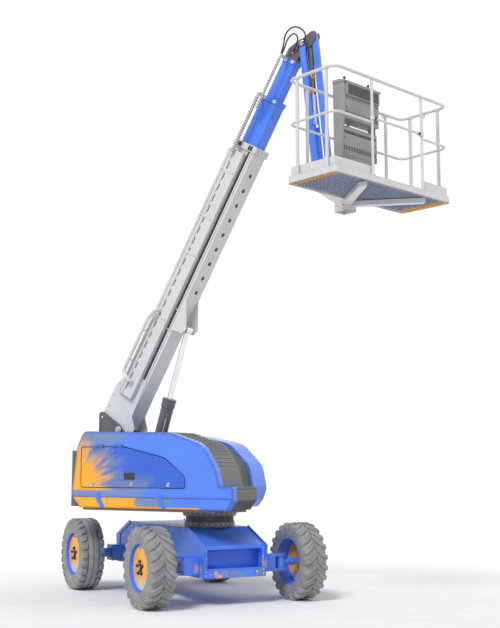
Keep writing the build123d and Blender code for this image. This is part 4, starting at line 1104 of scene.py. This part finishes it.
class BOOMLIFT_OT_boom_trim(bpy.types.Operator):
    """Adds the tray's slots, straps and guard tube, a black strip painted as the tray's shadow, the collar pads
    and the bands of the hose carriers
    """

    bl_idname = "boomlift.boom_trim"
    bl_label = "Boom Trim"

    def execute(self, context):
        bolt = context.scene.boom_lift_fittings.bolt
        dark, pale, metal = bmesh.new(), bmesh.new(), bmesh.new()
        seat = -(TRAY_SIDE - 0.0005)
        for i in range(22):
            x = 0.560 + i * 0.160
            add_block(dark, BOOM, (x, -0.2145, 0.163), (x + 0.100, seat, 0.176), 0.0012, 1)
        for z in (0.190, 0.240):
            add_block(dark, BOOM, (0.475, -0.2140, z - 0.0025), (4.195, seat, z + 0.0025), 0.001, 1)
        # A black strip on the base section just under the tray: painted shadow of the tray.
        add_block(dark, BOOM, (0.800, -0.1465, -0.016), (4.250, SEAT - BASE_SIDE, 0.012), 0.002, 1)
        add_block(pale, BOOM, (0.800, -0.1500, -0.046), (4.250, SEAT - BASE_SIDE, -0.022), 0.003)
        for x in (1.690, 2.672, 3.219, 3.900):
            add_block(pale, BOOM, (x - 0.020, -0.2155, 0.010), (x + 0.020, SEAT - TRAY_SIDE, 0.268))
            for z in (0.045, 0.235):
                add_bolt(metal, BOOM, (x, -0.2155, z), (0, -1, 0), bolt * 0.7)
        for side in SIDES:
            for z in (-0.040, 0.160):
                add_block(dark, BOOM, (4.272, side * 0.157, z), (4.334, side * 0.166, z + 0.070), 0.003)
                for x in (4.284, 4.322):
                    add_bolt(metal, BOOM, (x, side * 0.166, z + 0.035), (0, side, 0), bolt * 0.6)
            for x in (1.590, 1.890):
                seam = side * (BASE_SIDE - SEAT)
                add_block(pale, BOOM, (x - 0.008, seam, -0.078), (x + 0.008, side * 0.147, 0.016))
            for x in (0.02, 0.20, 0.38, 0.56):
                add_bolt(metal, BOOM, (x, side * 0.152, 0.345), (0, side, 0), bolt)
        for y in (-0.09, 0.0, 0.09):
            for z, way in ((0.293, 1), (-0.103, -1)):
                add_bolt(metal, BOOM, (4.302, y, z), (0, 0, way), bolt * 0.8)
        for i in range(9):
            hole = at(BOOM, (2.20 + i * 0.22, 0, -0.085), 90, "Y")
            add_lathe(dark, hole, [(0.0, 0.030), (0.0025, 0.030), (0.003, 0.026)], 24)
        self.guard_tube()
        piece("boom_marks_and_tray_shadow", dark, "base_section", "black paint")
        piece("boom_ledges", pale, "base_section", "light paint")
        piece("boom_bolts", metal, "base_section", "zinc")
        self.stages(bolt)
        return {"FINISHED"}

    def guard_tube(self):
        """The bent tube that guards the tray's foot, with its stays and feet."""
        guard = bmesh.new()
        add_tube(guard, BOOM, bent_line(GUARD_LINE), 0.024, 16)
        for x in (0.960, 1.420):
            add_tube(guard, BOOM, [(x, -0.290, 0.274), (x, -0.250, 0.258), (x, -0.206, 0.244)], 0.009)
        for x, z in ((0.700, 0.120), (1.775, 0.198)):
            foot = sideways(BOOM, (x, SEAT - TRAY_SIDE, z), -1)
            add_lathe(guard, foot, [(-0.001, 0.040), (0.005, 0.040), (0.006, 0.038), (0.007, 0.020)], 28)
        piece("guard_tube", guard, "base_section", "light paint")

    def stages(self, bolt):
        """Pads and bolts on the sliding sections, and bands round their hose carriers."""
        for name, body, x0, x1, half, low, high in (
            ("mid", "mid_section", 4.967, 5.027, 0.108, -0.058, 0.228),
            ("fly", "fly_section", 5.540, 5.600, 0.078, -0.030, 0.186),
        ):
            pads, metal = bmesh.new(), bmesh.new()
            middle = (x0 + x1) / 2
            for side in SIDES:
                seat, proud = side * (half - SEAT), side * (half + 0.007)
                for z in (low + 0.03, high - 0.075):
                    add_block(pads, BOOM, (x0 + 0.008, seat, z), (x1 - 0.008, proud, z + 0.045))
                    add_bolt(metal, BOOM, (middle, proud, z + 0.022), (0, side, 0), bolt * 0.6)
            for y in (-0.04, 0.04):
                add_bolt(metal, BOOM, (middle, y, high), (0, 0, 1), bolt * 0.65)
            piece("stage_pads_" + name, pads, body, "white paint")
            piece("stage_bolts_" + name, metal, body, "zinc")
        pitch = 0.034
        for node, body, x0, x1, z, radius in (
            ("carrier_mid", "mid_section", 4.147, 4.967, 0.190, 0.023),
            ("carrier_fly", "fly_section", 4.820, 5.540, 0.120, 0.017),
        ):
            bands = bmesh.new()
            half = pitch * 0.24
            for i in range(int((x1 - x0) / pitch)):
                add_lathe(bands, at(BOOM, (x0 + (i + 0.5) * pitch, -0.243, z)),
                          [(-half, radius - 0.001), (-half * 0.7, radius + 0.003), (half * 0.7, radius + 0.003),
                           (half, radius - 0.001)], 20)
            piece("bands_" + node, bands, body, "mid paint", 50)


class BOOMLIFT_OT_cylinders(bpy.types.Operator):
    """Adds the glands, ports, pipes and weld rings of the lift and jib cylinders"""

    bl_idname = "boomlift.cylinders"
    bl_label = "Cylinder Fittings"

    def execute(self, context):
        bolt = context.scene.boom_lift_fittings.bolt
        for name, body, place, radius, gland, start, end in (
            ("lift", "lift_cylinder", LIFT, 0.085, 0.095, 0.095, 1.261),
            ("jib", "jib_cylinder", RAM, 0.035, 0.035, 0.050, 0.700),
        ):
            parts, metal = bmesh.new(), bmesh.new()
            share = radius / 0.085
            weld = [(-0.010 * share, radius - 0.002), (-0.006 * share, radius + 0.006 * share),
                    (0.006 * share, radius + 0.006 * share), (0.010 * share, radius - 0.002)]
            welds = [end - 0.175 * share]
            if name == "lift":
                welds += [start, start + 0.10]
            for x in welds:
                add_lathe(parts, at(place, (x, 0, 0)), weld, 40)
            add_lathe(parts, at(place, (end, 0, 0)),
                      [(-0.030 * share, gland - 0.001), (-0.026 * share, gland + 0.004 * share),
                       (-0.004, gland + 0.004 * share), (0.002, gland - 0.004 * share),
                       (0.002, gland * 0.52)], 40)
            for across, high in circle(8, gland * 0.74):
                add_bolt(metal, place, (end + 0.001, across, high), OUTWARDS, bolt * 0.75 * share)
            reach = radius * 0.72
            first, last = start + 0.06 * share, end - 0.225 * share
            half, outer, inner = 0.022 * share, -reach - 0.030 * share, -reach + 0.012 * share
            for x in (first, last):
                add_block(parts, place, (x - half, outer, outer), (x + half, inner, inner), 0.003 * share)
            port = -reach - 0.016 * share
            pipe = port - 0.004
            add_tube(metal, place, [(first, port, port), (start + 0.12 * share, pipe, pipe),
                                    (end - 0.30 * share, pipe, pipe), (last, port, port)], 0.008 * share)
            piece("cylinder_parts_" + name, parts, body, "dark paint")
            piece("cylinder_metal_" + name, metal, body, "zinc")
        return {"FINISHED"}


class BOOMLIFT_OT_jib_trim(bpy.types.Operator):
    """Adds the pin caps and ribs of the boom head, the jib and the platform mount"""

    bl_idname = "boomlift.jib_trim"
    bl_label = "Jib Trim"

    def execute(self, context):
        bolt = context.scene.boom_lift_fittings.bolt
        head, ribs, foot, nose = bmesh.new(), bmesh.new(), bmesh.new(), bmesh.new()
        low = KNUCKLE.inverted() @ (joint_point("knuckle_level") + ARM_RUN)
        for side in SIDES:
            seat = side * (ARM_SIDE - SEAT / 2)
            add_cap(head, KNUCKLE, (0, side * 0.105, 0), side, 0.042, bolt * 0.7)
            add_cap(foot, KNUCKLE, (low.x, side * 0.105, low.z), side, 0.042, bolt * 0.7)
            add_block(ribs, JIB, (0.110, seat, -0.017), (1.870, side * 0.0970, 0.017), 0.003)
            for x in (0.000, ARM_RUN.length):
                boss = sideways(JIB, (x, seat, 0), side)
                add_lathe(ribs, boss, [(-0.001, 0.045), (0.004, 0.045), (0.005, 0.041), (0.005, 0.032)], 36)
            for x, z in ((1.150, 0.030), (ARM_RUN.length - 0.250, 0.0)):
                add_bolt(ribs, JIB, (x, side * ARM_SIDE, z), (0, side, 0), bolt * 1.4)
            add_block(nose, BOOM, (5.610, side * 0.0695, 0.120), (5.720, side * 0.0745, 0.170), 0.003)
            for x in (5.640, 5.720):
                for z in (0.020, 0.095):
                    add_bolt(nose, BOOM, (x, side * 0.070, z), (0, side, 0), bolt * 0.7)
        piece("head_caps", head, "level_knuckle", "zinc")
        piece("arm_ribs", ribs, "jib", "blue paint")
        piece("foot_caps", foot, "mount_body", "zinc")
        piece("nose_bolts", nose, "fly_section", "dark paint")
        return {"FINISHED"}


class BOOMLIFT_OT_hoses(bpy.types.Operator):
    """Hangs the hose loops at the boom's head"""

    bl_idname = "boomlift.hoses"
    bl_label = "Hoses"

    def execute(self, context):
        radius = context.scene.boom_lift_fittings.hose
        for name, points in HOSE_LINES.items():
            line = [BOOM @ p for p in bent_line(points)]
            bm = bmesh.new()
            add_tube(bm, Matrix.Identity(4), line, radius, 14)
            made = piece(name, bm, "fly_section", "hose rubber", 60)
            ends = bmesh.new()
            back = (line[-2] - line[-1]).normalized()
            turned = Vector(OUTWARDS).rotation_difference(back).to_matrix().to_4x4()
            add_lathe(ends, Matrix.Translation(line[-1]) @ turned,
                      [(-0.004, 0.014), (0.010, 0.014), (0.012, 0.0125), (0.026, 0.0125), (0.028, 0.0105)], 6)
            piece(name + "_fitting", ends, "fly_section", "zinc")
        return {"FINISHED"}


# Platform and console


class BOOMLIFT_OT_platform_trim(bpy.types.Operator):
    """Adds the grating, tread, post feet, harness eyes and latch of the platform"""

    bl_idname = "boomlift.platform_trim"
    bl_label = "Platform Trim"

    def execute(self, context):
        fittings = context.scene.boom_lift_fittings
        self.grating(fittings.slat_gap)
        self.posts(fittings.bolt * 0.6)
        self.floor_tread()
        latch = bmesh.new()
        rail_x = PLATFORM_FRONT - RAIL_INSET
        for y in (ENTRY_NEAR + 0.055, ENTRY_FAR - 0.055):
            add_block(latch, PLATFORM, (rail_x - 0.020, y - 0.018, 5.853),
                      (rail_x + 0.020, y + 0.018, 5.887), 0.003)
        piece("entry_latch", latch, "entry", "black paint")
        self.foot_parts(fittings.bolt)
        return {"FINISHED"}

    def grating(self, pitch):
        """Slats and bars under the floor plate, orange towards both ends."""
        middle, ends = bmesh.new(), bmesh.new()
        near, far = PLATFORM_NEAR + 0.047, PLATFORM_FAR - 0.047
        count = int((PLATFORM_FAR - PLATFORM_NEAR - 0.09) / pitch)
        for i in range(count + 1):
            y = near + i * (far - near) / count
            target = ends if y < PLATFORM_NEAR + 0.17 or y > PLATFORM_FAR - 0.17 else middle
            add_block(target, PLATFORM, (PLATFORM_REAR + 0.043, y - 0.006, 5.080),
                      (PLATFORM_FRONT - 0.043, y + 0.006, 5.1148), 0.0015, 1)
        for i in range(6):
            x = PLATFORM_REAR + 0.10 + i * 0.118
            add_block(middle, PLATFORM, (x - 0.007, near - SEAT, 5.088),
                      (x + 0.007, far + SEAT, 5.1145), 0.0015, 1)
        piece("grating", middle, "platform", "floor paint")
        piece("grating_ends", ends, "platform", "orange paint")

    def posts(self, bolt):
        """A foot with two bolts and a head pad on each flat post, collars on the entry's, and the eyes."""
        feet, metal, eyes = bmesh.new(), bmesh.new(), bmesh.new()
        front_x, rear_x = PLATFORM_FRONT - RAIL_INSET, PLATFORM_REAR + RAIL_INSET
        near_y, far_y = PLATFORM_NEAR + RAIL_INSET, PLATFORM_FAR - RAIL_INSET
        foot_top = RIM_TOP + 0.0078
        for x, y, along in (
            (front_x - 0.13, near_y, True), (rear_x + 0.15, near_y, True),
            (front_x - 0.15, far_y, True), (rear_x + 0.15, far_y, True),
            (rear_x, near_y + 0.33, False), (rear_x, -0.060, False), (rear_x, far_y - 0.33, False),
        ):
            a, b = (0.040, 0.018) if along else (0.018, 0.040)
            add_block(feet, PLATFORM, (x - a, y - b, RIM_TOP), (x + a, y + b, foot_top))
            for s in (-0.031, 0.031):
                dx, dy = (s, 0) if along else (0, s)
                add_bolt(metal, PLATFORM, (x + dx, y + dy, foot_top), (0, 0, 1), bolt)
            a, b = a * 0.72, b * 0.85
            add_block(feet, PLATFORM, (x - a, y - b, 6.335), (x + a, y + b, 6.347))
        for y in (ENTRY_NEAR, ENTRY_FAR):
            collar = upright(PLATFORM, (front_x, y, RIM_TOP))
            add_lathe(feet, collar, [(0.0, 0.030), (0.006, 0.030), (0.008, 0.028), (0.020, 0.021),
                                     (0.021, 0.018)], 28)
        for x, y in (
            (rear_x + 0.02, -0.75), (rear_x + 0.02, 0.62), (0.55, near_y + 0.02), (0.55, far_y - 0.02),
        ):
            add_eye(eyes, at(PLATFORM, (x, y, 6.322)), 0.026, 0.006)
        piece("post_feet", feet, "platform", "platform paint")
        piece("post_bolts", metal, "platform", "zinc")
        piece("harness_eyes", eyes, "platform", "orange paint")

    def floor_tread(self):
        """Raised tread marks on the floor, turned to and fro."""
        tread = bmesh.new()
        for i in range(15):
            for k in range(6):
                spot = (PLATFORM_REAR + 0.11 + k * 0.115, PLATFORM_NEAR + 0.13 + i * 0.140, 5.119)
                mark = at(PLATFORM, spot, 45 if (i + k) % 2 else -45)
                add_block(tread, mark, (-0.016, -0.004, -0.001), (0.016, 0.004, 0.0022), 0.001, 1)
        piece("floor_tread", tread, "platform", "platform paint")

    def foot_parts(self, bolt):
        """Bolts on the support's foot."""
        parts = bmesh.new()
        for x in (-0.030, 0.120):
            for y in (-0.065, 0.065):
                add_bolt(parts, PLATFORM, (x, y, 4.940), (0, 0, -1), bolt)
        for side in SIDES:
            for z in (4.965, 5.015):
                for x in (0.0, 0.1):
                    add_bolt(parts, PLATFORM, (x, side * 0.090, z), (0, side, 0), bolt * 0.8)
        piece("foot_bolts", parts, "platform", "zinc")


class BOOMLIFT_OT_console(bpy.types.Operator):
    """Builds the console: side plates, hood, upper and lower box with a gap between, controls, and a black
    sheet painted as the shade under the hood
    """

    bl_idname = "boomlift.console"
    bl_label = "Console"

    def execute(self, context):
        bolt = context.scene.boom_lift_fittings.bolt * 0.7
        shell, marks, controls = bmesh.new(), bmesh.new(), bmesh.new()
        near, far = -0.360, 0.320
        rear, lower_front, upper_front, hood_front = 0.184, 0.330, 0.368, 0.392
        hood = [(0.176, 6.515), (0.176, 6.560), (0.300, 6.552), (hood_front, 6.520), (hood_front, 6.500),
                (0.372, 6.500), (upper_front, 6.510)]
        near_plate = [(rear, 5.560), (0.176, 6.500), (0.180, 6.535), (0.372, 6.530), (0.378, 6.100),
                      (0.345, 5.900), (lower_front, 5.560)]
        far_plate = [(rear, 5.560), (0.178, 6.530), (0.300, 6.530), (0.300, 5.960), (0.250, 5.560)]
        add_plate(shell, PLATFORM, hood, near - 0.008, far + 0.008, 0.003)
        add_plate(shell, PLATFORM, near_plate, near, near + 0.016, 0.004)
        add_plate(shell, PLATFORM, far_plate, far - 0.016, far, 0.004)
        for corner, opposite, bevel, segments in (
            ((rear, near + 0.012, 6.035), (upper_front, far - 0.012, 6.520), 0.008, 3),
            ((0.186, near + 0.012, 5.575), (lower_front, far - 0.012, 5.955), 0.010, 3),
            ((0.364, near + 0.020, 6.330), (hood_front, far - 0.020, 6.505), 0.006, 2),
            ((0.220, far - 0.002, 6.280), (0.300, far + 0.055, 6.380), 0.006, 2),
        ):
            add_block(shell, PLATFORM, corner, opposite, bevel, segments)
        for i in range(20):
            y = near + 0.030 + i * 0.031
            for face, z in ((lower_front, 5.640), (upper_front, 6.075)):
                add_block(marks, PLATFORM, (face - SEAT, y, z), (face + 0.0025, y + 0.014, z + 0.060), 0.001, 1)
        add_block(marks, PLATFORM, (lower_front - SEAT, near + 0.040, 5.860),
                  (lower_front + 0.0025, far - 0.040, 5.895), 0.001, 1)
        # A black sheet on the front of the box under the hood: painted shade under the hood.
        add_block(marks, PLATFORM, (hood_front - SEAT, near + 0.050, 6.350),
                  (hood_front + 0.0025, far - 0.050, 6.485), 0.002, 1)
        for y in (near + 0.12, far - 0.10):
            add_lathe(controls, upright(PLATFORM, (0.270, y, 6.552)),
                      [(-0.006, 0.026), (0.004, 0.026), (0.008, 0.020), (0.012, 0.010), (0.045, 0.009),
                       (0.048, 0.016), (0.062, 0.018), (0.072, 0.014), (0.076, 0.006)], 24)
        for i in range(5):
            add_lathe(controls, upright(PLATFORM, (lower_front, near + 0.22 + i * 0.040, 6.540)),
                      [(-0.010, 0.009), (0.003, 0.009), (0.005, 0.004), (0.018, 0.003)], 14)
        for y in (near + 0.045, far - 0.045):
            for x, z in ((lower_front, 5.61), (lower_front, 5.80), (upper_front, 6.18), (upper_front, 6.30)):
                add_bolt(controls, PLATFORM, (x, y, z), OUTWARDS, bolt)
        made = piece("console_shells", shell, "platform", "console skin")
        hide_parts("control_console")
        piece("console_marks_and_hood_shade", marks, "platform", "black paint")
        piece("console_controls", controls, "platform", "black paint")
        return {"FINISHED"}


# The sidebar, and the order in which the pieces are made


OPERATORS = (
    BOOMLIFT_OT_stage,
    BOOMLIFT_OT_finishes,
    BOOMLIFT_OT_tyres,
    BOOMLIFT_OT_wheel_fittings,
    BOOMLIFT_OT_slew_teeth,
    BOOMLIFT_OT_chassis_trim,
    BOOMLIFT_OT_cover_trim,
    BOOMLIFT_OT_cowl_slats,
    BOOMLIFT_OT_riser_trim,
    BOOMLIFT_OT_boom_trim,
    BOOMLIFT_OT_cylinders,
    BOOMLIFT_OT_jib_trim,
    BOOMLIFT_OT_hoses,
    BOOMLIFT_OT_platform_trim,
    BOOMLIFT_OT_console,
)
SETTINGS = (
    ("boom_lift_colours", BoomLiftColours),
    ("boom_lift_tyres", BoomLiftTyres),
    ("boom_lift_fittings", BoomLiftFittings),
    ("boom_lift_stage", BoomLiftStage),
)


class BOOMLIFT_PT_panel(bpy.types.Panel):
    """Lists the steps and their settings"""

    bl_idname = "BOOMLIFT_PT_panel"
    bl_label = "Boom Lift"
    bl_space_type = "VIEW_3D"
    bl_region_type = "UI"
    bl_category = "Boom Lift"

    def draw(self, context):
        for operator in OPERATORS:
            self.layout.operator(operator.bl_idname)
        for name, group in SETTINGS:
            box = self.layout.box()
            for prop in group.__annotations__:
                box.prop(getattr(context.scene, name), prop)


def register():
    """Registers the settings, the operators and the panel."""
    for name, group in SETTINGS:
        bpy.utils.register_class(group)
        setattr(bpy.types.Scene, name, PointerProperty(type=group))
    for operator in OPERATORS:
        bpy.utils.register_class(operator)
    bpy.utils.register_class(BOOMLIFT_PT_panel)


def unregister():
    """Takes them out again."""
    bpy.utils.unregister_class(BOOMLIFT_PT_panel)
    for operator in reversed(OPERATORS):
        bpy.utils.unregister_class(operator)
    for name, group in reversed(SETTINGS):
        delattr(bpy.types.Scene, name)
        bpy.utils.unregister_class(group)


def main():
    """Makes every piece in order."""
    register()
    for operator in OPERATORS:
        group, name = operator.bl_idname.split(".")
        getattr(getattr(bpy.ops, group), name)()


if __name__ == "__main__":
    main()
